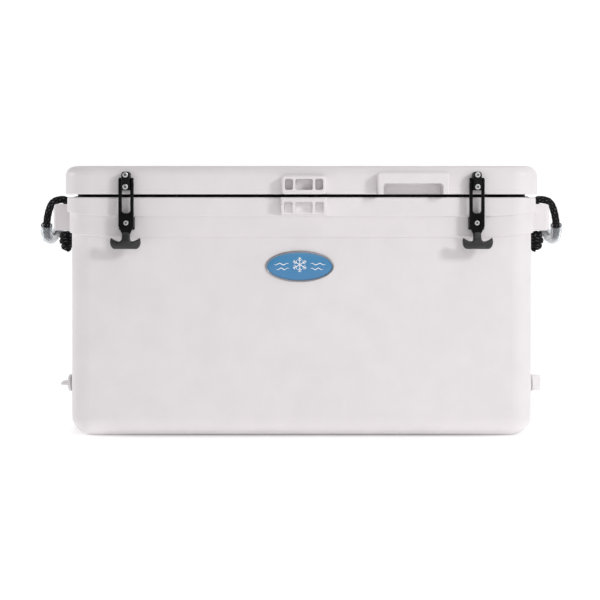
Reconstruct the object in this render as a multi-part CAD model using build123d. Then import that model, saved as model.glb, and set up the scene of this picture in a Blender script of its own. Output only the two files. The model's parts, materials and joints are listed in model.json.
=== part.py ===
from build123d import *
import math
import os

# A rotomoulded ice chest. X runs along its length, -Y is its front and Z is up.
# The origin is on the floor, at the middle of the footprint. Sizes are millimetres.

# ---- overall sizes ----
LID_LENGTH = 804.0
LID_DEPTH = 410.0
LID_THICKNESS = 48.0
TUB_HEIGHT = 404.0
SEAM_GAP = 5.0  # between the tub's rim and the lid, filled by the gasket

# ---- tub ----
CORNER = 48.0  # plan radius of the lid's and the rim's corners
RIM_INSET = 2.5  # from the lid's edge in to the rim band
STEP_INSET = 4.0  # from one band of the tub in to the next
RIM_STEP_DROP = 32.3  # from the rim's top to the rim band's lower edge
MID_STEP_DROP = 67.0  # from the rim's top to the middle band's lower edge
STEP_RISE = 7.3  # of the steps, towards the tub's ends
STEP_RISE_RUN = 95.5  # length over which a step rises
STEP_ROUND = 1.6
RIM_ROUND = 3.0
BOTTOM_ROUND = 34.0
SKIN = 4.0
WALL = 48.0  # from the lower body's outside to the cavity
FLOOR = 68.0
CAVITY_CORNER = 34.0
CAVITY_BOTTOM_ROUND = 22.0

# ---- lid ----
LID_TOP_ROUND = 17.0
LID_BOTTOM_ROUND = 2.5
LID_SKIN = 4.0
LID_BASE = 8.0  # lid's underside skin, which holds the gasket's groove
LID_PANEL_DEPTH = 8.0  # raised panel under the lid, which enters the cavity
LID_PANEL_GAP = 6.5
GASKET_INSET = 18.0  # from the rim band's face in to the gasket
GASKET_WIDTH = 12.0
GASKET_GAP = 0.2
GASKET_TONGUE = (4.0, 4.0)  # width and height of the rib that holds it in the lid

# ---- lock lugs, one above and one below the seam ----
LOCK_X = 4.0
LOCK_UPPER = (74.0, 31.0, 19.0)  # width, height, how far it stands proud of its wall
LOCK_LOWER = (76.5, 29.0, 20.5)
LOCK_FRAME = 5.5
LOCK_POCKET = (28.5, 15.0)  # width and depth of the middle pocket
LOCK_RIB = 4.5
LOCK_SHELF = 7.5  # thickness of the shelf that the padlock passes through
LOCK_BORE = 9.5
LOCK_BORE_OUT = 9.0  # from the upper lug's wall out to the padlock hole
LOCK_CORNER = 6.0  # the upper lug's corners in front view
LOCK_TAPER = 15.0  # height over which the lower lug slopes back to its wall
LOCK_TOE = 3.0  # how far the lower lug's bottom stands proud
POCKET_CORNER = 3.0
POCKET_LIP = 1.2  # round on the pockets' front edges
LUG_ROUND = 3.0
LUG_ROOT = 12.0  # how far a moulded lug's block reaches into its wall

# ---- finger hood on the lid's front ----
HOOD_INSET = 47.0  # from the right-hand latch's middle in to the hood
HOOD = (118.5, 36.0, 20.0)  # width, height, how far it stands proud
HOOD_POCKET = (99.0, 18.0, 15.0)  # width, height, depth behind the lid's face
HOOD_UNDERCUT = 8.0  # how far the pocket rises behind the hood's bar
HOOD_BAR = 8.0
HOOD_CORNER = 5.0

# ---- oval badge ----
BADGE_X = -3.0
BADGE_DROP = 116.0  # from the rim's top down to the badge's middle
BADGE = (115.0, 52.6)
BADGE_RIM = 3.2
BADGE_PROUD = (2.6, 1.8)  # rim, face

# ---- screws ----
SCREW_HEAD = (9.0, 2.6)
SCREW_HEAD_ROUND = 1.2
SCREW_SHANK = 4.0
SCREW_SOCKET = (4.0, 1.5)  # hexagon across flats, and depth
SCREW_CLEARANCE = 0.1  # radial
SCREW_BITE = 3.6  # how far a screw enters the wall that it holds to

# ---- rubber latches ----
LATCH_INSET = 110.5  # from the lid's end in to a latch's middle
ANCHOR = (14.0, 31.0, 18.0)  # width, height, how far it stands proud of the lid
ANCHOR_BELOW_PIN = 15.0
ANCHOR_CORNER = 4.5  # the top corners in front view
ANCHOR_ROUND = 2.0
LATCH_PIN = 5.0
LATCH_PIN_OUT = 9.0  # from the lid's face out to the pin
LATCH_PIN_UP = 21.5  # from the lid's underside up to the pin
PIN_CLEARANCE = 0.05  # radial
ANCHOR_SCREWS = (10.7, -9.1)  # above and below the pin
STRAP_WIDTH = 25.2
STRAP_THICKNESS = 9.0
STRAP_EYE = 6.0
STRAP_SIDE_GAP = 0.3
STRAP_KEEPER_GAP = 0.3
SLOT_REACH = 53.0  # these reaches are measured down from the pin
WINDOW_REACH = 69.0
WINDOW_GAP = 1.0  # round the keeper's screw head
BODY_REACH = 76.0
NECK_REACH = 86.0
NECK_WIDTH = 13.5
GRIP_REACH = (99.0, 112.5)
NECK_OVERLAP = 2.0  # how far the neck runs into the body and into the T grip
GRIP_WIDTH = 50.0
GRIP_THICKNESS = 14.0
GRIP_OUT = 6.0  # how far the neck leans out on its way down to the grip
GRIP_ROUND = 2.5
GRIP_TIP_RISE = 5.5
LEDGE_REACH = 81.0
LEDGE_HEIGHT = 6.0
LEDGE_WALL_GAP = 2.3
KEEPER_GAP = 0.4
KEEPER_HEIGHT = 21.0
KEEPER_BOSS = (9.6, 3.8)  # diameter, and how far its end lies behind the strap's front

# ---- rear hinges ----
HINGE_INSET = 172.0  # from the lid's end in to a hinge's middle
HINGE_WIDTH = 100.0
HINGE_MIDDLE = 44.0
HINGE_SIDE_GAP = 0.5
HINGE_LEAF = 4.0
HINGE_BARREL = 15.0
HINGE_PIN = 6.0
HINGE_SWING_GAP = 1.0  # from the tub's leaf to the barrel
HINGE_UPPER_HEIGHT = 30.0
HINGE_LOWER_HEIGHT = 26.0
HINGE_LEAF_GAP = 4.0  # from the seam's faces to the leaves
HINGE_SCREW_PITCH = 62.0
HINGE_SCREW_OUT = 0.6  # of a leaf's height, from its inner edge out to its screws
HINGE_ARM_GAP = 0.2
STOP_FIN = (4.5, 3.0)  # how far the fin stands out of the barrel, and its thickness
STOP_ANGLE = 105.5
STOP_PAD = (0.5, 5.0)  # the stop pad's top and bottom below the barrel

# ---- rope handles ----
ROPE = 12.0
ROPE_SLACK = 0.8  # radial, in a lug's hole
HANDLE_LUG = (41.5, 48.0, 46.0)  # reach out from the body, width, height
HANDLE_LUG_DROP = 12.0  # from the rim's top down to the lugs' tops
HANDLE_LUG_Y = 90.0
HANDLE_LUG_ROUND = 6.0
ROPE_OUT = 21.5  # from the body's side out to the rope's hole
KNOT = (33.0, 38.0)
KNOT_ROUND = 12.0
ROPE_GAP = 0.3
GRIP_TUBE_WALL = 3.0
GRIP_TUBE_SLACK = 0.5  # radial, round the rope
# the rope's route from its front hole to the middle of the grip, measured from where it
# lies on the lug over the hole: out from the tub, in towards the middle, and up
ROPE_ROUTE = [
    (0.0, 0.0, 0.0),
    (11.0, 1.0, 1.7),
    (27.0, 6.0, -2.3),
    (36.0, 14.0, -18.3),
    (42.0, 24.0, -41.3),
    (45.5, 42.0, -62.3),
    (47.5, 73.0, -70.8),
]
GRIP_FROM_POINT = 4  # the tube begins just past this point of the route
ARC_SHARE = 0.45

# ---- drain plugs ----
DRAIN_INSET = 84.5  # from the body's front face back to a drain's axis
DRAIN_BORE = 24.0
DRAIN_SLEEVE_WALL = 4.0
DRAIN_LIP = (4.0, 5.0)  # the sleeve's lip: width and thickness
DRAIN_SEAL = (3.0, 5.0)  # radial width and thickness
DRAIN_SHANK = 40.0
DRAIN_CAP = (2.5, 4.5)  # how far the cap covers the seal, and its thickness
DRAIN_CAP_ROUND = 1.5
DRAIN_WING = (12.0, 29.0, 8.0)  # length out, width, thickness
DRAIN_WING_ROUND = 5.0
DRAIN_CLEARANCE = 0.1  # radial, in the sleeve's bore
WING_TURN = {"right": 8.0, "left": 90.0}  # degrees from upright

# ---- foam filling holes, in the underside ----
FILL_PLUG = 22.0
FILL_X = 120.0
FILL_RECESS = 0.5

# ---- derived places ----
LID_BOTTOM = TUB_HEIGHT + SEAM_GAP
LID_TOP = LID_BOTTOM + LID_THICKNESS
LID_FRONT = -LID_DEPTH / 2
LATCH_X = LID_LENGTH / 2 - LATCH_INSET
HINGE_X = LID_LENGTH / 2 - HINGE_INSET
HOOD_X = LATCH_X - HOOD_INSET - HOOD[0] / 2
BADGE_Z = TUB_HEIGHT - BADGE_DROP
RIM_LENGTH = LID_LENGTH - 2 * RIM_INSET
RIM_DEPTH = LID_DEPTH - 2 * RIM_INSET
BODY_LENGTH = RIM_LENGTH - 4 * STEP_INSET
BODY_DEPTH = RIM_DEPTH - 4 * STEP_INSET
BODY_CORNER = CORNER - RIM_INSET - 2 * STEP_INSET
BODY_BOTTOM_ROUND = min(BOTTOM_ROUND, BODY_CORNER - 1)
BODY_FRONT = -BODY_DEPTH / 2
MID_FRONT = BODY_FRONT - STEP_INSET
RIM_FRONT = -RIM_DEPTH / 2
BODY_SIDE = BODY_LENGTH / 2
CAVITY_LENGTH = BODY_LENGTH - 2 * WALL
CAVITY_DEPTH = BODY_DEPTH - 2 * WALL
PIN_Y = LID_FRONT - LATCH_PIN_OUT
PIN_Z = LID_BOTTOM + LATCH_PIN_UP
STRAP_BACK = PIN_Y + STRAP_THICKNESS / 2
KEEPER_FRONT = STRAP_BACK + STRAP_KEEPER_GAP
KEEPER_SEAT = PIN_Y - STRAP_THICKNESS / 2 + KEEPER_BOSS[1]
HINGE_Y = RIM_DEPTH / 2 + HINGE_LEAF + HINGE_SWING_GAP + HINGE_BARREL / 2
HINGE_Z = TUB_HEIGHT + SEAM_GAP / 2
LOCK_BORE_Y = LID_FRONT - LOCK_BORE_OUT
ROPE_X = BODY_SIDE + ROPE_OUT
HANDLE_LUG_TOP = TUB_HEIGHT - HANDLE_LUG_DROP
HANDLE_LUG_BOTTOM = HANDLE_LUG_TOP - HANDLE_LUG[2]
DRAIN_Y = BODY_FRONT + DRAIN_INSET
DRAIN_Z = FLOOR + DRAIN_BORE / 2  # the bore is level with the cavity's floor
DRAIN_SLEEVE = DRAIN_BORE + 2 * DRAIN_SLEEVE_WALL
SIDES = {"left": -1, "right": 1}


# ---- helpers ----
def box(x, y, z):
    """A box between two values along each axis."""
    size = [abs(b - a) for a, b in (x, y, z)]
    middle = [(a + b) / 2 for a, b in (x, y, z)]
    return Pos(*middle) * Box(*size)


def about(middle, width):
    """The two values half a width either side of a middle."""
    return middle - width / 2, middle + width / 2


def slab(length, depth, corner, bottom, top):
    """An upright block with rounded corners in plan, centred on the Z axis."""
    outline = Plane.XY.offset(bottom) * RectangleRounded(length, depth, corner)
    return extrude(outline, top - bottom)


def bar(start, axis, diameter, length):
    """A round bar that begins at start and runs along axis."""
    return extrude(Plane(origin=start, z_dir=axis) * Circle(diameter / 2), length)


def round_end(solid, top, radius):
    """Fillet the edges of a solid's top or bottom face."""
    ends = solid.faces().sort_by(Axis.Z)
    return fillet((ends[-1] if top else ends[0]).edges(), radius)


def round_outer(solid, axis, side, radius):
    """Fillet the edges of the face that is furthest along an axis, on one side."""
    faces = solid.faces().sort_by(axis)
    return fillet((faces[-1] if side > 0 else faces[0]).edges(), radius)


def round_corners(block, radius):
    """Fillet the four corners that a block shows from the front."""
    return fillet(block.edges().filter_by(Axis.Y), radius)


def screw(seat, axis, length):
    """A pan-head screw with its head's underside on seat and its shank along axis."""
    inward = Vector(*axis)
    head_top = Vector(*seat) - inward * SCREW_HEAD[1]
    head = bar(head_top, axis, SCREW_HEAD[0], SCREW_HEAD[1])
    near = head.faces().sort_by(Axis(tuple(head_top), axis))[0]
    head = fillet(near.edges(), SCREW_HEAD_ROUND)
    socket = RegularPolygon(SCREW_SOCKET[0] / 2, 6, major_radius=False)
    socket = extrude(Plane(origin=head_top, z_dir=axis) * socket, SCREW_SOCKET[1])
    return head - socket + bar(seat, axis, SCREW_SHANK, length)


def screw_hole(seat, axis, length):
    """The hole that a screw's shank passes through."""
    return bar(seat, axis, SCREW_SHANK + 2 * SCREW_CLEARANCE, length + SCREW_CLEARANCE)


def save(name, *solids):
    """Write one node's solids to its STEP file."""
    shape = solids[0] if len(solids) == 1 else Compound(children=list(solids))
    export_step(shape, f"parts/{name}.step")


# ---- tub ----
def above_step(drop):
    """Everything above a step's line, which is level and then rises towards both ends."""
    level = TUB_HEIGHT - drop
    radius = (STEP_RISE_RUN**2 + STEP_RISE**2) / (2 * STEP_RISE)
    flat = RIM_LENGTH / 2 - STEP_INSET - STEP_RISE_RUN
    run = STEP_RISE_RUN + 2 * STEP_INSET
    high = level + radius - math.sqrt(radius**2 - run**2)
    end, top = flat + run, TUB_HEIGHT + SEAM_GAP
    outline = [
        Line((-flat, level), (flat, level)),
        TangentArc((flat, level), (end, high), tangent=(1, 0)),
        Polyline((end, high), (end, top), (-end, top), (-end, high)),
        TangentArc((-flat, level), (-end, high), tangent=(-1, 0)),
    ]
    return extrude(Plane.XZ * make_face(outline), RIM_DEPTH, both=True)


def band(inset, drop):
    """One of the rim's bands, with its lower edge rounded."""
    length, depth = RIM_LENGTH - 2 * inset, RIM_DEPTH - 2 * inset
    corner = CORNER - RIM_INSET - inset
    low = TUB_HEIGHT - drop - STEP_RISE
    block = slab(length, depth, corner, low, TUB_HEIGHT) & above_step(drop)
    under = ShapeList(f for f in block.faces() if f.normal_at().Z < -0.5)
    rim = [e for e in under.edges() if abs((e @ 0.5).Y) > 1 or abs((e @ 0.5).X) > length / 2 - 1]
    return fillet(rim, STEP_ROUND)


def handle_lug(side, end):
    """A moulded lug that a rope's end passes through. end is -1 at the front, 1 at the rear."""
    reach, width, _ = HANDLE_LUG
    across = (side * (BODY_SIDE - SKIN), side * (BODY_SIDE + reach))
    along = about(end * HANDLE_LUG_Y, width)
    block = box(across, along, (HANDLE_LUG_BOTTOM, HANDLE_LUG_TOP))
    block = round_outer(block, Axis.X, side, HANDLE_LUG_ROUND)
    start = (side * ROPE_X, end * HANDLE_LUG_Y, HANDLE_LUG_BOTTOM)
    return block, bar(start, (0, 0, 1), ROPE + 2 * ROPE_SLACK, HANDLE_LUG[2])


def lock_lug(size, wall, low, upper):
    """A framed lug for a padlock: a middle pocket, two side pockets and a bored shelf."""
    width, height, proud = size
    front = wall - proud
    block = box(about(LOCK_X, width), (front, wall + LUG_ROOT), (low, low + height))
    if upper:
        block = round_corners(block, LOCK_CORNER)
        tall = (low + LOCK_SHELF, low + height - LOCK_FRAME)
    else:
        block -= lock_taper(width, front, wall, low)
        tall = (low - POCKET_CORNER, low + height - LOCK_SHELF)
    faces = [f for f in block.faces() if f.normal_at().Y < -0.5]
    block = fillet(ShapeList(faces).edges(), LUG_ROUND)
    pocket, depth = LOCK_POCKET
    side_width = (width - pocket) / 2 - LOCK_RIB - LOCK_FRAME
    step = pocket / 2 + LOCK_RIB + side_width / 2
    for middle, across in ((0, pocket), (-step, side_width), (step, side_width)):
        cut = box(about(LOCK_X + middle, across), (front - 1, front + depth), tall)
        block -= round_corners(cut, POCKET_CORNER)
    if upper:
        face = block.faces().sort_by(Axis.Y)[0]
        lips = [edge for wire in face.inner_wires() for edge in wire.edges()]
        block = fillet(lips, POCKET_LIP)
    return block


def lock_taper(width, front, wall, low):
    """What is cut from the lower lug so that it slopes back to its wall."""
    toe = wall - LOCK_TOE
    outline = Polyline((front, low + LOCK_TAPER), (toe, low), (front, low), close=True)
    return extrude(Plane.YZ.offset(LOCK_X - width / 2) * make_face(outline), width)


def padlock_bore():
    """The upright hole through both lock lugs."""
    low = TUB_HEIGHT - LOCK_LOWER[1]
    length = LOCK_LOWER[1] + SEAM_GAP + LOCK_SHELF
    return bar((LOCK_X, LOCK_BORE_Y, low), (0, 0, 1), LOCK_BORE, length)


def drain_centre(side, x):
    """A point on a drain's axis, at a distance x from the tub's middle."""
    return side * x, DRAIN_Y, DRAIN_Z


def fill_hole(side, bottom, top):
    """The round hole under the tub through which its foam was poured."""
    return bar((side * FILL_X, 0, bottom), (0, 0, 1), FILL_PLUG, top - bottom)


def tub_void():
    """The space between the tub's outer skin and its liner."""
    length, depth = BODY_LENGTH - 2 * SKIN, BODY_DEPTH - 2 * SKIN
    outer = slab(length, depth, BODY_CORNER - SKIN, SKIN, TUB_HEIGHT - SKIN)
    outer = round_end(outer, False, BODY_BOTTOM_ROUND - SKIN)
    liner = cavity(SKIN)
    for side in (-1, 1):
        start = drain_centre(side, CAVITY_LENGTH / 2)
        outer -= bar(start, (side, 0, 0), DRAIN_SLEEVE, WALL)
    return outer - liner


def cavity(grown=0.0):
    """The cold space, or its liner's outside when grown by the liner's thickness."""
    length, depth = CAVITY_LENGTH + 2 * grown, CAVITY_DEPTH + 2 * grown
    space = slab(length, depth, CAVITY_CORNER + grown, FLOOR - grown, TUB_HEIGHT)
    return round_end(space, False, CAVITY_BOTTOM_ROUND + grown)


def tub_shell():
    """The tub's one-piece double wall, with its lugs."""
    shell = slab(BODY_LENGTH, BODY_DEPTH, BODY_CORNER, 0, TUB_HEIGHT)
    shell = round_end(shell, False, BODY_BOTTOM_ROUND)
    shell += band(STEP_INSET, MID_STEP_DROP)
    shell += round_end(band(0, RIM_STEP_DROP), True, RIM_ROUND)
    holes = []
    for side in SIDES.values():
        for end in (-1, 1):
            lug, hole = handle_lug(side, end)
            shell += lug
            holes.append(hole)
    shell += lock_lug(LOCK_LOWER, RIM_FRONT, TUB_HEIGHT - LOCK_LOWER[1], False)
    shell = shell - cavity() - padlock_bore()
    for hole in holes:
        shell -= hole
    for side in SIDES.values():
        inside = drain_centre(side, CAVITY_LENGTH / 2 - 1)
        shell -= bar(inside, (side, 0, 0), DRAIN_SLEEVE, WALL + 2)
        shell -= fill_hole(side, 0, SKIN)
        shell -= screw_hole(*keeper_screw(side))
        for seat in hinge_screw_seats(side, False):
            shell -= screw_hole(seat, (0, -1, 0), HINGE_LEAF + SCREW_BITE)
    return shell - tub_void()


def make_tub():
    """The tub, its foam, filling plugs, drain sleeves and badge."""
    save("tub_shell", tub_shell())
    save("tub_foam", tub_void())
    plugs = [fill_hole(side, FILL_RECESS, SKIN) for side in SIDES.values()]
    save("foam_filling_plugs", *plugs)
    for name, side in SIDES.items():
        inner = drain_centre(side, CAVITY_LENGTH / 2)
        sleeve = bar(inner, (side, 0, 0), DRAIN_SLEEVE, WALL)
        lip, thick = DRAIN_LIP
        sleeve += bar(drain_centre(side, BODY_SIDE), (side, 0, 0), DRAIN_SLEEVE + 2 * lip, thick)
        sleeve -= bar(inner, (side, 0, 0), DRAIN_BORE, WALL + thick)
        save(f"drain_sleeve_{name}", sleeve)
    seat = Plane(origin=(BADGE_X, BODY_FRONT, BADGE_Z), x_dir=(1, 0, 0), z_dir=(0, -1, 0))
    half = BADGE[0] / 2, BADGE[1] / 2
    face = Ellipse(half[0] - BADGE_RIM, half[1] - BADGE_RIM)
    save("badge_rim", extrude(seat * (Ellipse(*half) - face), BADGE_PROUD[0]))
    save("badge_face", extrude(seat * face, BADGE_PROUD[1]))


# ---- lid ----
def gasket_ring(outset, width, bottom, top):
    """A rounded rectangular ring that follows the gasket's line."""
    inset = GASKET_INSET + outset
    length, depth = RIM_LENGTH - 2 * inset, RIM_DEPTH - 2 * inset
    corner = CORNER - RIM_INSET - inset
    outer = slab(length, depth, corner, bottom, top)
    return outer - slab(length - 2 * width, depth - 2 * width, corner - width, bottom, top)


def gasket_tongue():
    """The gasket's rib, and the groove in the lid that it fills."""
    width, height = GASKET_TONGUE
    return gasket_ring((GASKET_WIDTH - width) / 2, width, LID_BOTTOM, LID_BOTTOM + height)


def hood_pocket():
    """The space for the fingers, in under the hood and up behind its bar."""
    width, height, depth = HOOD_POCKET
    across, back = about(HOOD_X, width), LID_FRONT + depth
    front = LID_FRONT - HOOD[2]
    low = box(across, (front, back), (LID_BOTTOM - HOOD_CORNER, LID_BOTTOM + height))
    low = round_corners(low, HOOD_CORNER)
    high = (LID_BOTTOM + height, LID_BOTTOM + height + HOOD_UNDERCUT)
    return low + box(across, (front + HOOD_BAR, back), high)


def lid_void():
    """The space inside the lid's skin."""
    length, depth = LID_LENGTH - 2 * LID_SKIN, LID_DEPTH - 2 * LID_SKIN
    low, high = LID_BOTTOM + LID_BASE, LID_TOP - LID_SKIN
    space = slab(length, depth, CORNER - LID_SKIN, low, high)
    space = round_end(space, True, LID_TOP_ROUND - LID_SKIN)
    across = about(HOOD_X, HOOD_POCKET[0] + 2 * LID_SKIN)
    back = LID_FRONT + HOOD_POCKET[2] + LID_SKIN
    space -= box(across, (LID_FRONT, back), (low, high))
    return space + lid_panel(LID_SKIN, low)


def lid_panel(inset, top):
    """The raised panel under the lid, or the space in it when inset by the lid's skin."""
    gap = LID_PANEL_GAP + inset
    length, depth = CAVITY_LENGTH - 2 * gap, CAVITY_DEPTH - 2 * gap
    return slab(length, depth, CAVITY_CORNER - gap, LID_BOTTOM - LID_PANEL_DEPTH + inset, top)


def lid_shell():
    """The lid's skin, with the upper lock lug, the finger hood and the raised panel below."""
    shell = slab(LID_LENGTH, LID_DEPTH, CORNER, LID_BOTTOM, LID_TOP)
    shell = round_end(shell, True, LID_TOP_ROUND)
    shell = round_end(shell, False, LID_BOTTOM_ROUND)
    shell += lock_lug(LOCK_UPPER, LID_FRONT, LID_BOTTOM, True)
    width, height, proud = HOOD
    tall = (LID_BOTTOM, LID_BOTTOM + height)
    hood = box(about(HOOD_X, width), (LID_FRONT - proud, LID_FRONT + LUG_ROOT), tall)
    hood = fillet(hood.edges().filter_by(Axis.Y).group_by(Axis.Z)[-1], HOOD_CORNER)
    shell += round_outer(hood, Axis.Y, -1, LUG_ROUND)
    shell += round_end(lid_panel(0, LID_BOTTOM), False, LUG_ROUND)
    shell = shell - hood_pocket() - gasket_tongue() - padlock_bore() - lid_void()
    for side in SIDES.values():
        for seat in anchor_screw_seats(side):
            shell -= screw_hole(seat, (0, 1, 0), ANCHOR[2] + SCREW_BITE)
        for seat in hinge_screw_seats(side, True):
            shell -= screw_hole(seat, (0, -1, 0), HINGE_LEAF + SCREW_BITE)
    return shell


def make_lid():
    """The lid, its foam and its gasket."""
    save("lid_shell", lid_shell())
    save("lid_foam", lid_void())
    gasket = gasket_ring(0, GASKET_WIDTH, TUB_HEIGHT + GASKET_GAP, LID_BOTTOM)
    save("lid_gasket", gasket + gasket_tongue())


# ---- latches ----
def anchor_screw_seats(side):
    """Where the two screw heads sit on an anchor's front."""
    front = LID_FRONT - ANCHOR[2]
    return [(side * LATCH_X, front, PIN_Z + up) for up in ANCHOR_SCREWS]


def keeper_screw(side):
    """A keeper screw's seat, axis and length."""
    seat = (side * LATCH_X, KEEPER_SEAT, PIN_Z - WINDOW_REACH)
    return seat, (0, 1, 0), MID_FRONT - KEEPER_SEAT + SCREW_BITE


def pin_bar(side, diameter, width):
    """A round bar on a latch's pin line."""
    start = (side * LATCH_X - width / 2, PIN_Y, PIN_Z)
    return bar(start, (1, 0, 0), diameter, width)


def latch_anchor(side):
    """The block on the lid that carries a strap's pin."""
    width, height, proud = ANCHOR
    low = PIN_Z - ANCHOR_BELOW_PIN
    across = about(side * LATCH_X, width)
    block = box(across, (LID_FRONT - proud, LID_FRONT), (low, low + height))
    block = fillet(block.edges().filter_by(Axis.Y).group_by(Axis.Z)[-1], ANCHOR_CORNER)
    block = round_outer(block, Axis.Y, -1, ANCHOR_ROUND)
    for seat in anchor_screw_seats(side):
        block -= screw_hole(seat, (0, 1, 0), proud)
    return block - pin_bar(side, LATCH_PIN, width + 1)


def latch_keeper(side):
    """The block that a strap hooks under, with a boss through the strap's window.

    Its underside is an arc about the latch's pin.
    """
    across = about(side * LATCH_X, STRAP_WIDTH)
    low = PIN_Z - LEDGE_REACH
    top = PIN_Z - LEDGE_REACH + KEEPER_HEIGHT
    block = box(across, (KEEPER_FRONT, MID_FRONT), (low, top))
    block &= pin_bar(side, 2 * (LEDGE_REACH - KEEPER_GAP), STRAP_WIDTH + 2)
    seat, axis, _ = keeper_screw(side)
    block += bar(seat, axis, KEEPER_BOSS[0], MID_FRONT - KEEPER_SEAT)
    return block - screw_hole(*keeper_screw(side))


def strap_outline():
    """A strap's body and its T grip in front view, from the pin down, with no openings."""
    half, neck, grip = STRAP_WIDTH / 2, NECK_WIDTH / 2, GRIP_WIDTH / 2
    top, bottom = -GRIP_REACH[0], -GRIP_REACH[1]
    body = Polyline(
        (-half, 0), (-half, -BODY_REACH), (-neck, -NECK_REACH), (neck, -NECK_REACH),
        (half, -BODY_REACH), (half, 0), close=True,
    )
    middle = (top + bottom) / 2
    bow = Polyline(
        (-grip, top + GRIP_TIP_RISE), (-neck, top), (neck, top), (grip, top + GRIP_TIP_RISE),
        (grip, middle), (neck, bottom), (-neck, bottom), (-grip, middle), close=True,
    )
    return make_face(body), make_face(bow)


def strap_neck(side):
    """The neck between a strap's body and its grip, which leans out on its way down."""
    front, back = PIN_Y - STRAP_THICKNESS / 2, STRAP_BACK
    up, low = PIN_Z - NECK_REACH, PIN_Z - GRIP_REACH[0] - NECK_OVERLAP
    outline = Polyline(
        (front, up + NECK_OVERLAP), (front, up), (front - GRIP_OUT, low), (back - GRIP_OUT, low),
        (back, up), (back, up + NECK_OVERLAP), close=True,
    )
    return extrude(Plane.YZ.offset(side * LATCH_X - NECK_WIDTH / 2) * make_face(outline), NECK_WIDTH)


def latch_strap(side):
    """A one-piece rubber strap: two eyes, a slotted body, a neck, a ledge and a T grip."""
    seat = Plane(origin=(side * LATCH_X, PIN_Y, PIN_Z), x_dir=(1, 0, 0), z_dir=(0, -1, 0))
    body, bow = strap_outline()
    strap = extrude(seat * body, STRAP_THICKNESS / 2, both=True)
    strap += pin_bar(side, 2 * STRAP_EYE, STRAP_WIDTH)
    strap += strap_neck(side)
    grip = extrude(seat.offset(GRIP_OUT - STRAP_THICKNESS / 2) * bow, GRIP_THICKNESS)
    grip = fillet(grip.faces().sort_by(Axis.Y)[0].edges(), GRIP_ROUND)
    ledge_back = MID_FRONT - LEDGE_WALL_GAP
    low = PIN_Z - LEDGE_REACH - LEDGE_HEIGHT
    across = about(side * LATCH_X, NECK_WIDTH)
    ledge = box(across, (PIN_Y, ledge_back), (low, low + 2 * LEDGE_HEIGHT))
    ledge -= pin_bar(side, 2 * LEDGE_REACH, STRAP_WIDTH)
    slot = ANCHOR[0] + 2 * STRAP_SIDE_GAP
    deep = about(PIN_Y, 4 * STRAP_THICKNESS)
    slot_low = PIN_Z - SLOT_REACH
    opening = box(about(side * LATCH_X, slot), deep, (slot_low + slot / 2, PIN_Z + 2 * STRAP_EYE))
    start = (side * LATCH_X, deep[0], slot_low + slot / 2)
    opening += bar(start, (0, 1, 0), slot, 4 * STRAP_THICKNESS)
    start = (side * LATCH_X, deep[0], PIN_Z - WINDOW_REACH)
    opening += bar(start, (0, 1, 0), SCREW_HEAD[0] + 2 * WINDOW_GAP, 4 * STRAP_THICKNESS)
    pin = pin_bar(side, LATCH_PIN + 2 * PIN_CLEARANCE, STRAP_WIDTH + 1)
    return strap + grip + ledge - opening - pin


def make_latches():
    """Both latches: anchors, pins, straps, keepers and their screws."""
    for name, side in SIDES.items():
        save(f"latch_anchor_{name}", latch_anchor(side))
        save(f"latch_strap_{name}", latch_strap(side))
        save(f"latch_keeper_{name}", latch_keeper(side))
    sides = SIDES.values()
    seats = [seat for side in sides for seat in anchor_screw_seats(side)]
    save("anchor_screws", *[screw(seat, (0, 1, 0), ANCHOR[2] + SCREW_BITE) for seat in seats])
    save("keeper_screws", *[screw(*keeper_screw(side)) for side in sides])
    save("latch_pins", *[pin_bar(side, LATCH_PIN, STRAP_WIDTH) for side in sides])


# ---- hinges ----
def hinge_screw_seats(side, upper):
    """Where a leaf's two screw heads sit."""
    up = LID_BOTTOM + HINGE_LEAF_GAP + HINGE_UPPER_HEIGHT * HINGE_SCREW_OUT
    down = TUB_HEIGHT - HINGE_LEAF_GAP - HINGE_LOWER_HEIGHT * HINGE_SCREW_OUT
    wall = LID_DEPTH / 2 if upper else RIM_DEPTH / 2
    places = about(side * HINGE_X, HINGE_SCREW_PITCH)
    return [(x, wall + HINGE_LEAF, up if upper else down) for x in places]


def hinge_bar(x, diameter):
    """A round bar on the hinge axis, between two values of X."""
    return bar((x[0], HINGE_Y, HINGE_Z), (1, 0, 0), diameter, x[1] - x[0])


def hinge_upper(side):
    """The lid's leaf, with the middle knuckle and the fin that stops the lid."""
    x = side * HINGE_X
    wall, low = LID_DEPTH / 2, LID_BOTTOM + HINGE_LEAF_GAP
    plate = box(about(x, HINGE_WIDTH), (wall, wall + HINGE_LEAF), (low, low + HINGE_UPPER_HEIGHT))
    knuckle = about(x, HINGE_MIDDLE)
    arm = box(knuckle, (wall + HINGE_ARM_GAP, HINGE_Y), (HINGE_Z, low + HINGE_BARREL / 2))
    arm -= box(knuckle, (wall, wall + SEAM_GAP), (HINGE_Z, LID_BOTTOM))
    leaf = plate + arm + hinge_bar(knuckle, HINGE_BARREL)
    reach, thick = HINGE_BARREL / 2 + STOP_FIN[0], STOP_FIN[1]
    leaf += box(about(x, HINGE_MIDDLE / 2), (HINGE_Y, HINGE_Y + reach), about(HINGE_Z, thick))
    for seat in hinge_screw_seats(side, True):
        leaf -= screw_hole(seat, (0, -1, 0), HINGE_LEAF)
    return leaf - hinge_bar(knuckle, HINGE_PIN + 2 * PIN_CLEARANCE)


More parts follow.
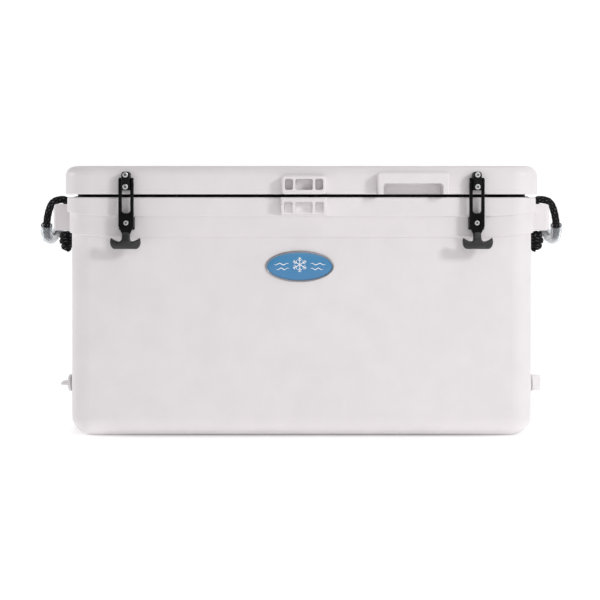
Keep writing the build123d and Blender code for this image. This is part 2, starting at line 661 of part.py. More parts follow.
def stop_pad(x):
    """The pad on the tub's leaf that the lid's fin meets at the stop angle."""
    turn = math.radians(STOP_ANGLE)
    across, up = math.sin(turn), -math.cos(turn)
    half = STOP_FIN[1] / 2
    drops = [HINGE_BARREL / 2 + below for below in STOP_PAD]
    ends = [(HINGE_Y - (half + up * drop) / across, HINGE_Z - drop) for drop in drops]
    wall = RIM_DEPTH / 2 + HINGE_LEAF / 2
    outline = Polyline(
        (wall, HINGE_Z - drops[0]), ends[0], ends[1], (wall, HINGE_Z - drops[1]), close=True
    )
    width = HINGE_MIDDLE / 2
    return extrude(Plane.YZ.offset(x - width / 2) * make_face(outline), width)


def hinge_lower(side):
    """The tub's leaf, with the two outer knuckles and the stop pad."""
    x = side * HINGE_X
    wall, top = RIM_DEPTH / 2, TUB_HEIGHT - HINGE_LEAF_GAP
    arm_low = top - HINGE_BARREL / 2
    leaf = box(about(x, HINGE_WIDTH), (wall, wall + HINGE_LEAF), (top - HINGE_LOWER_HEIGHT, top))
    outer = about(x, HINGE_WIDTH)
    inner = about(x, HINGE_MIDDLE + 2 * HINGE_SIDE_GAP)
    for knuckle in ((outer[0], inner[0]), (inner[1], outer[1])):
        leaf += box(knuckle, (wall, HINGE_Y), (arm_low, HINGE_Z))
        leaf += hinge_bar(knuckle, HINGE_BARREL)
    leaf += stop_pad(x)
    for seat in hinge_screw_seats(side, False):
        leaf -= screw_hole(seat, (0, -1, 0), HINGE_LEAF)
    return leaf - hinge_bar(outer, HINGE_PIN)


def make_hinges():
    """Both hinges: leaves, pins and screws."""
    sides = SIDES.values()
    for name, side in SIDES.items():
        save(f"hinge_upper_{name}", hinge_upper(side))
        save(f"hinge_lower_{name}", hinge_lower(side))
    pins = [hinge_bar(about(side * HINGE_X, HINGE_WIDTH), HINGE_PIN) for side in sides]
    save("hinge_pins", *pins)
    length = HINGE_LEAF + SCREW_BITE
    for name, upper in (("upper", True), ("lower", False)):
        seats = [seat for side in sides for seat in hinge_screw_seats(side, upper)]
        save(f"hinge_screws_{name}", *[screw(seat, (0, -1, 0), length) for seat in seats])


# ---- rope handles ----
def rope_line(side):
    """The rope's path from its front hole to its rear hole: straight runs and tangent arcs."""
    lie = HANDLE_LUG_TOP + ROPE / 2 + ROPE_GAP
    front = [Vector(side * (ROPE_X + x), y - HANDLE_LUG_Y, lie + z) for x, y, z in ROPE_ROUTE]
    points = front + [Vector(p.X, -p.Y, p.Z) for p in reversed(front)]
    radii = []
    for before, point, after in zip(points, points[1:], points[2:]):
        turn = math.radians((point - before).get_angle(after - point))
        shorter = min((point - before).length, (after - point).length)
        radii.append(ARC_SHARE * shorter / math.tan(turn / 2))
    if side > 0:
        print("rope radii", [round(r, 1) for r in radii])
    return FilletPolyline(*points, radius=radii)


def tube_along(edges, diameter):
    """A round solid along a chain of edges."""
    line = Wire(edges)
    start = Plane(origin=line @ 0, z_dir=line % 0)
    return sweep(start * Circle(diameter / 2), path=line)


def make_handles():
    """Both handles: rope, its knotted ends in the lugs, and the grip tube."""
    for name, side in SIDES.items():
        edges = rope_line(side).edges()
        edges = edges.sort_by(Axis.Y)
        rope = tube_along(edges, ROPE)
        length = sum(edge.length for edge in edges)
        share = rope.volume / (math.pi * ROPE**2 / 4 * length)
        print(name, "rope length", round(length, 1), "volume over section times length", share)
        save(f"handle_rope_{name}", rope)
        first = 2 * GRIP_FROM_POINT
        held = edges[first : len(edges) - first]
        inner = ROPE + 2 * GRIP_TUBE_SLACK
        outer = inner + 2 * GRIP_TUBE_WALL
        save(f"handle_grip_{name}", tube_along(held, outer) - tube_along(held, inner))
        ends = []
        for end in (-1, 1):
            x, y = side * ROPE_X, end * HANDLE_LUG_Y
            knot = bar((x, y, HANDLE_LUG_BOTTOM), (0, 0, -1), *KNOT)
            knot = fillet(knot.edges().filter_by(GeomType.CIRCLE), KNOT_ROUND)
            knot += bar((x, y, HANDLE_LUG_BOTTOM - 1), (0, 0, 1), ROPE, HANDLE_LUG[2] + 1 - ROPE_GAP)
            ends.append(knot)
        save(f"rope_ends_{name}", *ends)


# ---- drains ----
def make_drains():
    """Both drain plugs and their seals."""
    for name, side in SIDES.items():
        out = (side, 0, 0)
        shank = DRAIN_BORE - 2 * DRAIN_CLEARANCE
        seal_from = BODY_SIDE + DRAIN_LIP[1]
        seal_outer = DRAIN_BORE + 2 * DRAIN_SEAL[0]
        seal = bar(drain_centre(side, seal_from), out, seal_outer, DRAIN_SEAL[1])
        seal -= bar(drain_centre(side, seal_from), out, DRAIN_BORE, DRAIN_SEAL[1])
        save(f"drain_seal_{name}", seal)
        cap_from = seal_from + DRAIN_SEAL[1]
        plug = bar(drain_centre(side, cap_from - DRAIN_SHANK), out, shank, DRAIN_SHANK)
        cap = bar(drain_centre(side, cap_from), out, DRAIN_BORE + 2 * DRAIN_CAP[0], DRAIN_CAP[1])
        plug += round_outer(cap, Axis.X, side, DRAIN_CAP_ROUND)
        length, width, thick = DRAIN_WING
        wing_from = cap_from + DRAIN_CAP[1]
        wing = box((wing_from - 1, wing_from + length), about(0, thick), about(0, width))
        wing = fillet(wing.edges().filter_by(Axis.Y).group_by(Axis.X)[-1], DRAIN_WING_ROUND)
        wing = Rot(X=WING_TURN[name]) * wing
        if side < 0:
            wing = mirror(wing, Plane.YZ)
        plug += Pos(0, DRAIN_Y, DRAIN_Z) * wing
        save(f"drain_plug_{name}", plug)


os.makedirs("parts", exist_ok=True)
make_tub()
make_lid()
make_latches()
make_hinges()
make_handles()
make_drains()
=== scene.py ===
"""A white rotomoulded ice chest with rubber latches, rope handles and screw-out drain plugs.

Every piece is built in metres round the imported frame. Surfaces are numpy grids, each finish is a
small class that paints with shader nodes, and each sub-assembly is a class that holds its sizes.
"""
import json
import logging
import math
from dataclasses import dataclass, field
from enum import Enum
from typing import Callable, Sequence

import bpy
import numpy as np
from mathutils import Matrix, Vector

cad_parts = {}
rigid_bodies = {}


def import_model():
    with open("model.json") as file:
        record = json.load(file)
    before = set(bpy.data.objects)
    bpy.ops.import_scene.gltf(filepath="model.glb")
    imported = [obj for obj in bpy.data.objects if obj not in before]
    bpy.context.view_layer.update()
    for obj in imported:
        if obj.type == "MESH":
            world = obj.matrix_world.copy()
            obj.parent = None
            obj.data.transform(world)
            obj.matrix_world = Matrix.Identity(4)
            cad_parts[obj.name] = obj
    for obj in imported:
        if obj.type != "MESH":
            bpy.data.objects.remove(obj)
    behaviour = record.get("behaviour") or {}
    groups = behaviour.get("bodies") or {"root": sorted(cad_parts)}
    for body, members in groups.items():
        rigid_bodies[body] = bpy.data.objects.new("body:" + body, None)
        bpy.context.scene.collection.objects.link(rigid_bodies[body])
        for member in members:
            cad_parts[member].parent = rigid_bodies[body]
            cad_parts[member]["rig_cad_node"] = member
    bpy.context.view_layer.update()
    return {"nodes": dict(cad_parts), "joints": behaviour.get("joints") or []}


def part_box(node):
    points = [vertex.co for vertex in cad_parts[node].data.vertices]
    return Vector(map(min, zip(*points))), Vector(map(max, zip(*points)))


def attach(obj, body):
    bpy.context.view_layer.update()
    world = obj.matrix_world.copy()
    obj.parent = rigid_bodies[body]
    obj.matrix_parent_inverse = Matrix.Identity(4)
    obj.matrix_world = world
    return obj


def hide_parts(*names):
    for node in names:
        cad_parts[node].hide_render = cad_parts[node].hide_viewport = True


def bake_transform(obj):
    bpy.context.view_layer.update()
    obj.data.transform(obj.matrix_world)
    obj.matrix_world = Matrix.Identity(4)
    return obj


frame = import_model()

log = logging.getLogger("ice_chest")
Array = np.ndarray
Colour = tuple[float, float, float]
SENSOR_WIDTH = 36.0
NOISE_ROUGHNESS = 0.55


class Side(Enum):
    """The chest's two ends, as signs along X."""

    LEFT = -1
    RIGHT = 1

    @property
    def label(self) -> str:
        """The side's name, as node and body names spell it."""
        return self.name.lower()


class End(Enum):
    """The front and the rear of the chest, as signs along Y."""

    FRONT = -1
    REAR = 1


# ---------------------------------------------------------------- meshes


def grid_quads(rows: int, columns: int, wrap_rows: bool, wrap_columns: bool) -> tuple[Array, Array]:
    """The quads of a grid of points, whose last row or column may join its first.

    Returns:
        The quads as point numbers (n, 4), and their corners' places on the unrolled grid (n, 4, 2).
    """
    i = np.arange(rows if wrap_rows else rows - 1)
    j = np.arange(columns if wrap_columns else columns - 1)
    i, j = (a.ravel() for a in np.meshgrid(i, j, indexing="ij"))
    places = np.stack([np.stack([i, j], 1), np.stack([i, j + 1], 1),
                       np.stack([i + 1, j + 1], 1), np.stack([i + 1, j], 1)], 1)
    return (places[..., 0] % rows) * columns + places[..., 1] % columns, places


@dataclass
class Surface:
    """Points and faces that become one mesh.

    Attributes:
        points: All points, (n, 3).
        faces: Quads or longer faces, as lists of point numbers.
        uv: One UV pair for each face corner, in the order of the faces.
    """

    points: Array
    faces: list[list[int]]
    uv: Array

    @classmethod
    def grid(cls, points: Array, wrap_rows: bool = False, wrap_columns: bool = True,
             caps: bool = True, uv_scale: tuple[float, float] = (1.0, 1.0)) -> "Surface":
        """A grid of points, (rows, columns, 3), as quads.

        Args:
            points: The grid's points.
            wrap_rows: Whether the last row joins the first.
            wrap_columns: Whether the last column joins the first.
            caps: Whether the first and last rows are closed by a face, where they don't join.
            uv_scale: What the whole grid spans in U and V.
        """
        rows, columns = points.shape[:2]
        quads, places = grid_quads(rows, columns, wrap_rows, wrap_columns)
        spans = np.array([rows if wrap_rows else rows - 1, columns if wrap_columns else columns - 1])
        uv = (places / spans * np.array(uv_scale)).reshape(-1, 2)
        faces = quads.tolist()
        if caps and not wrap_rows:
            last = (rows - 1) * columns
            faces += [list(range(columns))[::-1], list(range(last, last + columns))]
            uv = np.vstack([uv, np.zeros((2 * columns, 2))])
        return cls(points.reshape(-1, 3), faces, uv)

    def joined(self, *others: "Surface") -> "Surface":
        """This surface and others as one."""
        every = (self, *others)
        starts = np.cumsum([0] + [len(s.points) for s in every[:-1]])
        faces = [[int(n + start) for n in face] for s, start in zip(every, starts) for face in s.faces]
        return Surface(np.vstack([s.points for s in every]), faces, np.vstack([s.uv for s in every]))

    def piece(self, name: str, smooth: float | None = 40.0) -> bpy.types.Object:
        """The surface as an object at the origin, with its normals pointing outwards.

        Args:
            name: The object's name.
            smooth: Edges sharper than this many degrees stay sharp; None smooths every edge.
        """
        mesh = bpy.data.meshes.new(name)
        mesh.from_pydata(self.points.tolist(), [], self.faces)
        layer = mesh.uv_layers.new(name="UVMap")
        layer.data.foreach_set("uv", self.uv.astype(np.float32).ravel())
        mesh.polygons.foreach_set("use_smooth", np.ones(len(mesh.polygons), bool))
        mesh.update()
        if signed_volume(mesh) < 0:
            mesh.flip_normals()
        mesh.validate()
        if smooth is not None:
            mesh.set_sharp_from_angle(angle=math.radians(smooth))
        return linked(name, mesh)


def linked(name: str, data: bpy.types.ID) -> bpy.types.Object:
    """A new object in the scene that shows a mesh, curve, light or camera."""
    made = bpy.data.objects.new(name, data)
    bpy.context.scene.collection.objects.link(made)
    return made


def mesh_points(mesh: bpy.types.Mesh) -> Array:
    """A mesh's points, (n, 3)."""
    places = np.zeros(len(mesh.vertices) * 3, np.float32)
    mesh.vertices.foreach_get("co", places)
    return places.reshape(-1, 3).astype(float)


def signed_volume(mesh: bpy.types.Mesh) -> float:
    """A closed mesh's volume, negative where it is inside out."""
    mesh.calc_loop_triangles()
    corners = np.zeros(len(mesh.loop_triangles) * 3, np.int32)
    mesh.loop_triangles.foreach_get("vertices", corners)
    a, b, c = mesh_points(mesh)[corners.reshape(-1, 3)].transpose(1, 0, 2)
    return float(np.einsum("ij,ij->i", a, np.cross(b, c)).sum() / 6)


def full_turn(count: int) -> Array:
    """Angles evenly round a whole turn, in radians, from 0."""
    return np.linspace(0, 2 * math.pi, count, endpoint=False)


def superellipse(turn: Array, power_x: float | Array, power_y: float) -> tuple[Array, Array]:
    """The coordinates of a superellipse, (sgn(cos) |cos|^p, sgn(sin) |sin|^q), at angles round it."""
    x, y = np.cos(turn), np.sin(turn)
    return np.sign(x) * np.abs(x) ** power_x, np.sign(y) * np.abs(y) ** power_y


def revolve(profile: Array, origin: Sequence[float], axis: Sequence[float], turns: int,
            relief: Callable[[Array, Array], Array] | None = None, closed: bool = False) -> Surface:
    """A profile carried round an axis.

    Each point is the distance along the axis, and the radius from it, of a profile point, so the
    surface is origin + along * axis + (radius + relief) * (cos t, sin t) across the axis.

    Args:
        profile: Pairs of distance along the axis and radius, (n, 2).
        origin: Where the axis starts.
        axis: The axis' direction, of unit length.
        turns: Points round the axis.
        relief: What is added to the radius, as a function of distance along the axis and angle.
        closed: Whether the profile's last point joins its first; otherwise both ends are capped.
    """
    along = np.array(axis, float)
    side = np.cross(along, [0.0, 0.0, 1.0] if abs(along[2]) < 0.9 else [1.0, 0.0, 0.0])
    side /= np.linalg.norm(side)
    up = np.cross(along, side)
    t = full_turn(turns)
    distance, radius = profile[:, :1], profile[:, 1:]
    if relief is not None:
        radius = radius + relief(distance, t[None, :])
    ring = np.cos(t)[None, :, None] * side + np.sin(t)[None, :, None] * up
    radius = np.broadcast_to(radius, (len(profile), turns))[..., None]
    points = np.array(origin, float) + distance[..., None] * along + radius * ring
    return Surface.grid(points, wrap_rows=closed)


def arc(centre: tuple[float, float], radius: float, start: float, end: float, count: int) -> Array:
    """Points on an arc, from one angle in degrees to another."""
    t = np.radians(np.linspace(start, end, count))
    return np.stack([centre[0] + radius * np.cos(t), centre[1] + radius * np.sin(t)], 1)


def frames_along(path: Array) -> tuple[Array, Array]:
    """Two directions across a path at each of its points, (n, 3) each, turning as little as they can.

    Each frame is the one before it, turned by the bend between the two tangents.
    """
    tangent = np.gradient(path, axis=0)
    tangent /= np.linalg.norm(tangent, axis=1, keepdims=True)
    first = [np.cross(tangent[0], [0.0, 1.0, 0.2])]
    first[0] /= np.linalg.norm(first[0])
    for step in tangent[1:]:
        across = first[-1] - step * np.dot(first[-1], step)
        first.append(across / np.linalg.norm(across))
    first = np.array(first)
    return first, np.cross(tangent, first)


def rings_round(line: Array, radius: Array, turn: Array, rows: Array | slice = slice(None)) -> Array:
    """Rings of points about a line, each across it.

    Args:
        line: The line's points, (n, 3).
        radius: The rings' radii, (rings, points round) or (rings, 1).
        turn: The angles round each ring.
        rows: Which of the line's points each ring lies at.
    """
    first, second = frames_along(line)
    ring = np.cos(turn)[:, None] * first[rows][:, None] + np.sin(turn)[:, None] * second[rows][:, None]
    return line[rows][:, None] + radius[..., None] * ring


def even_path(path: Array, spacing: float) -> Array:
    """A path's points, moved along it so that they lie evenly, a given spacing apart."""
    reach = np.concatenate([[0], np.cumsum(np.linalg.norm(np.diff(path, axis=0), axis=1))])
    steps = np.linspace(0, reach[-1], max(2, int(round(reach[-1] / spacing)) + 1))
    return np.stack([np.interp(steps, reach, path[:, k]) for k in range(3)], 1)


def path_length(path: Array) -> float:
    """The length of a path through its points."""
    return float(np.linalg.norm(np.diff(path, axis=0), axis=1).sum())


def curve_mesh(curve: bpy.types.Curve) -> tuple[Array, list[list[int]]]:
    """The points and faces that a curve makes; the curve is deleted."""
    holder = linked(curve.name, curve)
    bpy.context.view_layer.update()
    mesh = bpy.data.meshes.new_from_object(holder)
    points, faces = mesh_points(mesh), [list(face.vertices) for face in mesh.polygons]
    bpy.data.objects.remove(holder)
    bpy.data.curves.remove(curve)
    bpy.data.meshes.remove(mesh)
    return points, faces


def smooth_route(points: Sequence[Sequence[float]]) -> Array:
    """The line of a quadratic NURBS spline with the given control points, (n, 3)."""
    curve = bpy.data.curves.new("route", "CURVE")
    curve.dimensions = "3D"
    curve.resolution_u = 24
    spline = curve.splines.new("NURBS")
    spline.points.add(len(points) - 1)
    for knot, place in zip(spline.points, points):
        knot.co = (*place, 1.0)
    spline.order_u = 3
    spline.use_endpoint_u = True
    return curve_mesh(curve)[0]


def flat_plate(outlines: Sequence[Array], thickness: float, edge: float,
               place: Callable[[Array], Array]) -> Surface:
    """A plate with holes and rounded edges, made in the XY plane about its middle.

    Args:
        outlines: The outer outline and then the holes, each (n, 2), in metres.
        thickness: The plate's whole thickness.
        edge: The radius of its edges.
        place: Moves the plate's points from the XY plane to where they belong.
    """
    curve = bpy.data.curves.new("plate", "CURVE")
    curve.dimensions = "2D"
    curve.fill_mode = "BOTH"
    curve.extrude = thickness / 2 - edge
    curve.bevel_depth = edge
    curve.bevel_resolution = 3
    curve.offset = -edge
    for outline in outlines:
        spline = curve.splines.new("POLY")
        spline.points.add(len(outline) - 1)
        flat = np.column_stack([outline, np.zeros(len(outline)), np.ones(len(outline))])
        spline.points.foreach_set("co", flat.ravel())
        spline.use_cyclic_u = True
    points, faces = curve_mesh(curve)
    return Surface(place(points), faces, np.zeros((sum(len(face) for face in faces), 2)))


# ---------------------------------------------------------------- shader nodes


@dataclass(frozen=True)
class Value:
    """A shader socket that can be added, multiplied and so on."""

    sheet: "NodeSheet"
    socket: bpy.types.NodeSocket

    def _with(self, operation: str, first: "Value | float", second: "Value | float") -> "Value":
        """A Math node on two values."""
        return self.sheet.node("ShaderNodeMath", {"operation": operation}, {0: first, 1: second})

    def __add__(self, other: "Value | float") -> "Value":
        """The sum."""
        return self._with("ADD", self, other)

    def __radd__(self, other: float) -> "Value":
        """The sum, number first."""
        return self._with("ADD", other, self)

    def __sub__(self, other: "Value | float") -> "Value":
        """The difference."""
        return self._with("SUBTRACT", self, other)

    def __rsub__(self, other: float) -> "Value":
        """The difference, number first."""
        return self._with("SUBTRACT", other, self)

    def __mul__(self, other: "Value | float") -> "Value":
        """The product."""
        return self._with("MULTIPLY", self, other)

    def __rmul__(self, other: float) -> "Value":
        """The product, number first."""
        return self._with("MULTIPLY", other, self)

    def clamped(self) -> "Value":
        """The value, held between 0 and 1."""
        return self.sheet.node("ShaderNodeClamp", {}, {"Value": self})


class NodeSheet:
    """One material's shader nodes."""

    def __init__(self, name: str) -> None:
        """Start a material of a given name with a Principled shader."""
        self.material = bpy.data.materials.new(name)
        self.material.use_nodes = True
        self.tree = self.material.node_tree
        self.shader = self.tree.nodes["Principled BSDF"]

    def node(self, kind: str, settings: dict[str, object], values: dict[object, object],
             output: int | str = 0) -> Value:
        """Add a node.

        Args:
            kind: The node's type.
            settings: Its settings, which are set first. "stops" holds a ramp's (place, grey) pairs.
            values: What its sockets hold, by name or number: a number, a tuple or a Value.
            output: The output that is returned.
        """
        made = self.tree.nodes.new(kind)
        for name, setting in settings.items():
            if name == "stops":
                ramp = made.color_ramp.elements
                while len(ramp) < len(setting):
                    ramp.new(0.5)
                for stop, (place, grey) in zip(ramp, setting):
                    stop.position = place
                    stop.color = (grey, grey, grey, 1.0)
            else:
                setattr(made, name, setting)
        for name, value in values.items():
            if isinstance(value, Value):
                self.tree.links.new(value.socket, made.inputs[name])
            else:
                made.inputs[name].default_value = value
        return Value(self, made.outputs[output])

    def place(self) -> Value:
        """Where a point lies in the object, in metres."""
        return self.node("ShaderNodeTexCoord", {}, {}, "Object")

    def noise(self, scale: float, detail: float,
              stretch: tuple[float, float, float] | None = None) -> Value:
        """Noise from 0 to 1 at a number of features for each metre, stretched along the axes."""
        where = self.place()
        if stretch is not None:
            where = self.node("ShaderNodeMapping", {}, {"Vector": where, "Scale": stretch})
        return self.node("ShaderNodeTexNoise", {}, {
            "Vector": where, "Scale": scale, "Detail": detail, "Roughness": NOISE_ROUGHNESS}, "Fac")

    def ramp(self, value: Value, *stops: tuple[float, float]) -> Value:
        """A value put through a ramp of (place, grey) stops."""
        return self.node("ShaderNodeValToRGB", {"stops": stops}, {"Fac": value})

    def blend(self, amount: Value, first: tuple[float, ...], second: tuple[float, ...]) -> Value:
        """A colour between two colours."""
        return self.node("ShaderNodeMix", {"data_type": "RGBA"}, {
            "Factor": amount, 6: (*first, 1.0), 7: (*second, 1.0)}, 2)

    def bump(self, height: Value, depth: float, under: Value | None = None) -> Value:
        """A bump of a depth in metres, over another bump where one is given."""
        below = {} if under is None else {"Normal": under}
        return self.node("ShaderNodeBump", {}, {"Height": height, "Distance": depth, **below})

    def set(self, **sockets: object) -> None:
        """Set the shader's sockets, named with underscores for spaces."""
        for name, value in sockets.items():
            socket = self.shader.inputs[name.replace("_", " ")]
            if isinstance(value, Value):
                self.tree.links.new(value.socket, socket)
            else:
                socket.default_value = value


@dataclass(frozen=True)
class Finish:
    """A finish that can be painted on pieces."""

    name: str
    slot: str

    def paint(self, sheet: NodeSheet) -> None:
        """Add the finish's nodes to a sheet."""
        raise NotImplementedError

    def material(self) -> bpy.types.Material:
        """The finish's material, made the first time that it is asked for."""
        found = bpy.data.materials.get(self.name)
        if found is None:
            sheet = NodeSheet(self.name)
            self.paint(sheet)
            found = sheet.material
        return found

    def dress(self, piece: bpy.types.Object) -> None:
        """Put the finish on a piece: into each of a frame part's slots, or added to a new piece's
        materials.
        """
        if "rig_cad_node" in piece:
            for holder in piece.material_slots:
                holder.material = self.material()
        else:
            piece.data.materials.append(self.material())

    def fit(self, piece: bpy.types.Object, body: str, node: str) -> None:
        """Put the finish on a piece that rides a body and replaces a node."""
        self.dress(piece)
        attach(piece, body)
        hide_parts(node)


@dataclass(frozen=True)
class MouldedPolyethylene(Finish):
    """A pale moulded plastic or rubber: fine orange peel, slow waviness and faint mottling."""

    bright: Colour = (0.775, 0.738, 0.753)
    dull: Colour = (0.735, 0.700, 0.713)
    roughness: tuple[float, float] = (0.38, 0.52)
    peel: float = 300.0
    peel_depth: float = 0.00012
    wave: float = 9.0
    wave_depth: float = 0.0012

    def paint(self, sheet: NodeSheet) -> None:
        """Mottle the colour, vary the gloss, and lay the peel over the waviness."""
        mottle = sheet.ramp(sheet.noise(22.0, 5.0), (0.32, 0.0), (0.68, 1.0))
        speckle = sheet.ramp(sheet.noise(1400.0, 1.0), (0.28, 0.0), (0.42, 1.0))
        sheet.set(Base_Color=sheet.blend(0.75 * mottle + 0.25 * speckle, self.dull, self.bright))
        low, high = self.roughness
        scuff = sheet.ramp(sheet.noise(60.0, 4.0, (1.0, 1.0, 0.25)), (0.4, 0.0), (0.7, 1.0))
        sheet.set(Roughness=low + (high - low) * scuff)
        wavy = sheet.bump(sheet.noise(self.wave, 1.0), self.wave_depth)
        peel = sheet.bump(sheet.noise(self.peel, 2.0), self.peel_depth, under=wavy)
        sheet.set(Normal=peel, Specular_IOR_Level=0.42)


@dataclass(frozen=True)
class BlackPolymer(Finish):
    """Black rubber or nylon: a soft sheen, a grain, and a pale bloom where it is handled."""

    base: Colour = (0.0015, 0.0015, 0.0016)
    bloom: Colour = (0.005, 0.005, 0.0055)
    roughness: tuple[float, float] = (0.36, 0.55)
    gloss: float = 0.09
    grain: float = 900.0
    grain_depth: float = 0.00006

    def paint(self, sheet: NodeSheet) -> None:
        """Bloom and gloss vary together; the grain is a bump."""
        cloud = sheet.ramp(sheet.noise(75.0, 5.0), (0.42, 0.0), (0.75, 1.0))
        low, high = self.roughness
        sheet.set(Base_Color=sheet.blend(cloud, self.base, self.bloom),
                  Roughness=low + (high - low) * cloud)
        slow = sheet.bump(sheet.noise(120.0, 1.0), self.grain_depth * 2)
        sheet.set(Normal=sheet.bump(sheet.noise(self.grain, 2.0), self.grain_depth, under=slow),
                  Specular_IOR_Level=self.gloss)


@dataclass(frozen=True)
class Steel(Finish):
    """Stainless steel, turned and slightly brushed."""

    # Painted shade: the dark colour that the sockets' hollows are given where the occlusion node finds them
    # closed in.
    socket: Colour = (0.03, 0.03, 0.032)
    worn: Colour = (0.72, 0.72, 0.73)
    depth: float = 0.003

    def paint(self, sheet: NodeSheet) -> None:
        """Fine stretched scratches turn the gloss, and painted shade from an ambient occlusion node darkens
        the sockets.
        """
        lines = sheet.noise(2200.0, 3.0, (0.08, 1.0, 1.0))
        # Painted shade: where the ambient occlusion node finds a hollow, the base colour runs towards the
        # socket shade.
        open_ = sheet.node("ShaderNodeAmbientOcclusion", {"samples": 6}, {"Distance": self.depth}, "AO")
        unshaded_share = sheet.ramp(open_, (0.55, 0.0), (0.85, 1.0))
        sheet.set(Base_Color=sheet.blend((unshaded_share - 0.15 * lines).clamped(), self.socket, self.worn),
                  Metallic=1.0, Roughness=0.2 + 0.22 * lines, Normal=sheet.bump(lines, 0.00001))


@dataclass(frozen=True)
class BraidedYarn(Finish):
    """Black braided polyester: matt yarn with fine fibres along the strands."""

    base: Colour = (0.0015, 0.0015, 0.0018)
    fuzz: Colour = (0.16, 0.16, 0.175)

    def paint(self, sheet: NodeSheet) -> None:
        """Fibres from a fine noise, and painted sheen: a paler colour on the strands' crowns.

        The UV map counts half cells along the rope and strands round it, so the crowns are where
        |sin(pi (v + u)) sin(pi (v - u))| is greatest.
        """
        place = sheet.node("ShaderNodeUVMap", {}, {}, "UV")
        along, around = (sheet.node("ShaderNodeSeparateXYZ", {}, {"Vector": place}, axis) for axis in "XY")
        waves = [sheet.node("ShaderNodeMath", {"operation": "SINE"}, {0: math.pi * lean}, "Value")
                 for lean in (around + along, around - along)]
        crown = sheet.node("ShaderNodeMath", {"operation": "ABSOLUTE"}, {0: waves[0] * waves[1]}, "Value")
        fibre = sheet.noise(3800.0, 2.0, (1.0, 1.0, 0.35))
        patchy = sheet.ramp(sheet.noise(260.0, 3.0), (0.4, 0.15), (0.65, 1.0))
        # Painted sheen: the crowns are paler, broken up by patchy noise and the real fibre noise.
        pale = sheet.ramp(crown, (0.55, 0.0), (0.95, 1.0)) * patchy * (0.4 + 0.6 * fibre)
        sheet.set(Base_Color=sheet.blend(pale, self.base, self.fuzz),
                  Roughness=0.62 + 0.2 * fibre, Specular_IOR_Level=0.15,
                  Normal=sheet.bump(fibre, 0.00012))


@dataclass(frozen=True)
class ClearVinyl(Finish):
    """Clear flexible vinyl tube with a faint blue cast."""

    tint: Colour = (0.90, 0.94, 0.98)

    def paint(self, sheet: NodeSheet) -> None:
        """Cloudy gloss over clear plastic."""
        haze = sheet.noise(140.0, 4.0)
        sheet.set(Base_Color=(*self.tint, 1.0), Transmission_Weight=0.9, IOR=1.4,
                  Roughness=0.05 + 0.15 * sheet.ramp(haze, (0.4, 0.0), (0.75, 1.0)),
                  Normal=sheet.bump(haze, 0.0002))


@dataclass(frozen=True)
class SilverTrim(Finish):
    """Dull silver plating on a plastic rim, with darker patches."""

    base: Colour = (0.34, 0.34, 0.36)
    worn: Colour = (0.22, 0.22, 0.24)

    def paint(self, sheet: NodeSheet) -> None:
        """A cloudy satin."""
        cloud = sheet.ramp(sheet.noise(260.0, 4.0), (0.35, 0.0), (0.8, 1.0))
        sheet.set(Base_Color=sheet.blend(cloud, self.base, self.worn), Metallic=0.85,
                  Roughness=0.26 + 0.14 * cloud, Normal=sheet.bump(sheet.noise(1500.0, 2.0), 0.00002))


@dataclass(frozen=True)
class PrintedGloss(Finish):
    """A printed face under clear resin, shaded from its top to its bottom."""

    low: Colour = (0.042, 0.20, 0.43)
    high: Colour = (0.06, 0.25, 0.47)
    middle: float = 0.288
    half: float = 0.026

    def paint(self, sheet: NodeSheet) -> None:
        """The colour runs up the face by height, with a faint fleck."""
        height = sheet.node("ShaderNodeSeparateXYZ", {}, {"Vector": sheet.place()}, "Z")
        rise = ((height - (self.middle - self.half)) * (0.5 / self.half)).clamped()
        fleck = sheet.noise(1700.0, 2.0)
        sheet.set(Base_Color=sheet.blend((rise + 0.12 * fleck).clamped(), self.low, self.high),
                  Roughness=0.2 + 0.08 * fleck, Coat_Weight=0.25,
                  Normal=sheet.bump(sheet.noise(90.0, 2.0), 0.0001))


@dataclass(frozen=True)
class PouredFoam(Finish):
    """Poured insulating foam with small cells."""

    skin: Colour = (0.78, 0.68, 0.42)
    core: Colour = (0.88, 0.80, 0.56)

    def paint(self, sheet: NodeSheet) -> None:
        """Cells from a Voronoi pattern, in colour and bump."""
        cells = sheet.node("ShaderNodeTexVoronoi", {}, {
            "Vector": sheet.place(), "Scale": 900.0}, "Distance")
        tone = sheet.ramp(cells, (0.1, 0.0), (0.8, 1.0))
        sheet.set(Base_Color=sheet.blend(tone, self.skin, self.core), Roughness=0.85 + 0.1 * tone,
                  Normal=sheet.bump(cells, 0.0003))


POLYETHYLENE = MouldedPolyethylene("white moulded polyethylene", "white_polyethylene")
WHITE_NYLON = MouldedPolyethylene(
    "white moulded nylon", "white_nylon", bright=(0.83, 0.80, 0.81), dull=(0.76, 0.73, 0.74),
    roughness=(0.3, 0.42), peel=900.0, peel_depth=0.00004, wave=60.0, wave_depth=0.0001)
RUBBER = BlackPolymer("black latch rubber", "black_rubber")
# Painted sheen: the neck and grip use a lit copy of the latch rubber. Their base colour is made paler for
# the light their upward-leaning front catches; the higher specular level is real gloss.
SHEEN_PAINTED_RUBBER = BlackPolymer("handled latch rubber", "black_rubber", base=(0.012, 0.012, 0.013),
                           bloom=(0.035, 0.035, 0.038), roughness=(0.42, 0.55), gloss=0.5)
NYLON = BlackPolymer("black glass-filled nylon", "black_nylon", base=(0.003, 0.003, 0.0033), gloss=0.15,
                     roughness=(0.34, 0.5), grain=1400.0, grain_depth=0.00008)
PALE_RUBBER = MouldedPolyethylene(
    "pale seal rubber", "black_rubber", bright=(0.52, 0.50, 0.51), dull=(0.44, 0.42, 0.43),
    roughness=(0.5, 0.65), peel=700.0, peel_depth=0.00005, wave=80.0, wave_depth=0.0001)
STEEL = Steel("stainless steel", "stainless_steel")
ROPE_YARN = BraidedYarn("black braided yarn", "black_rope")
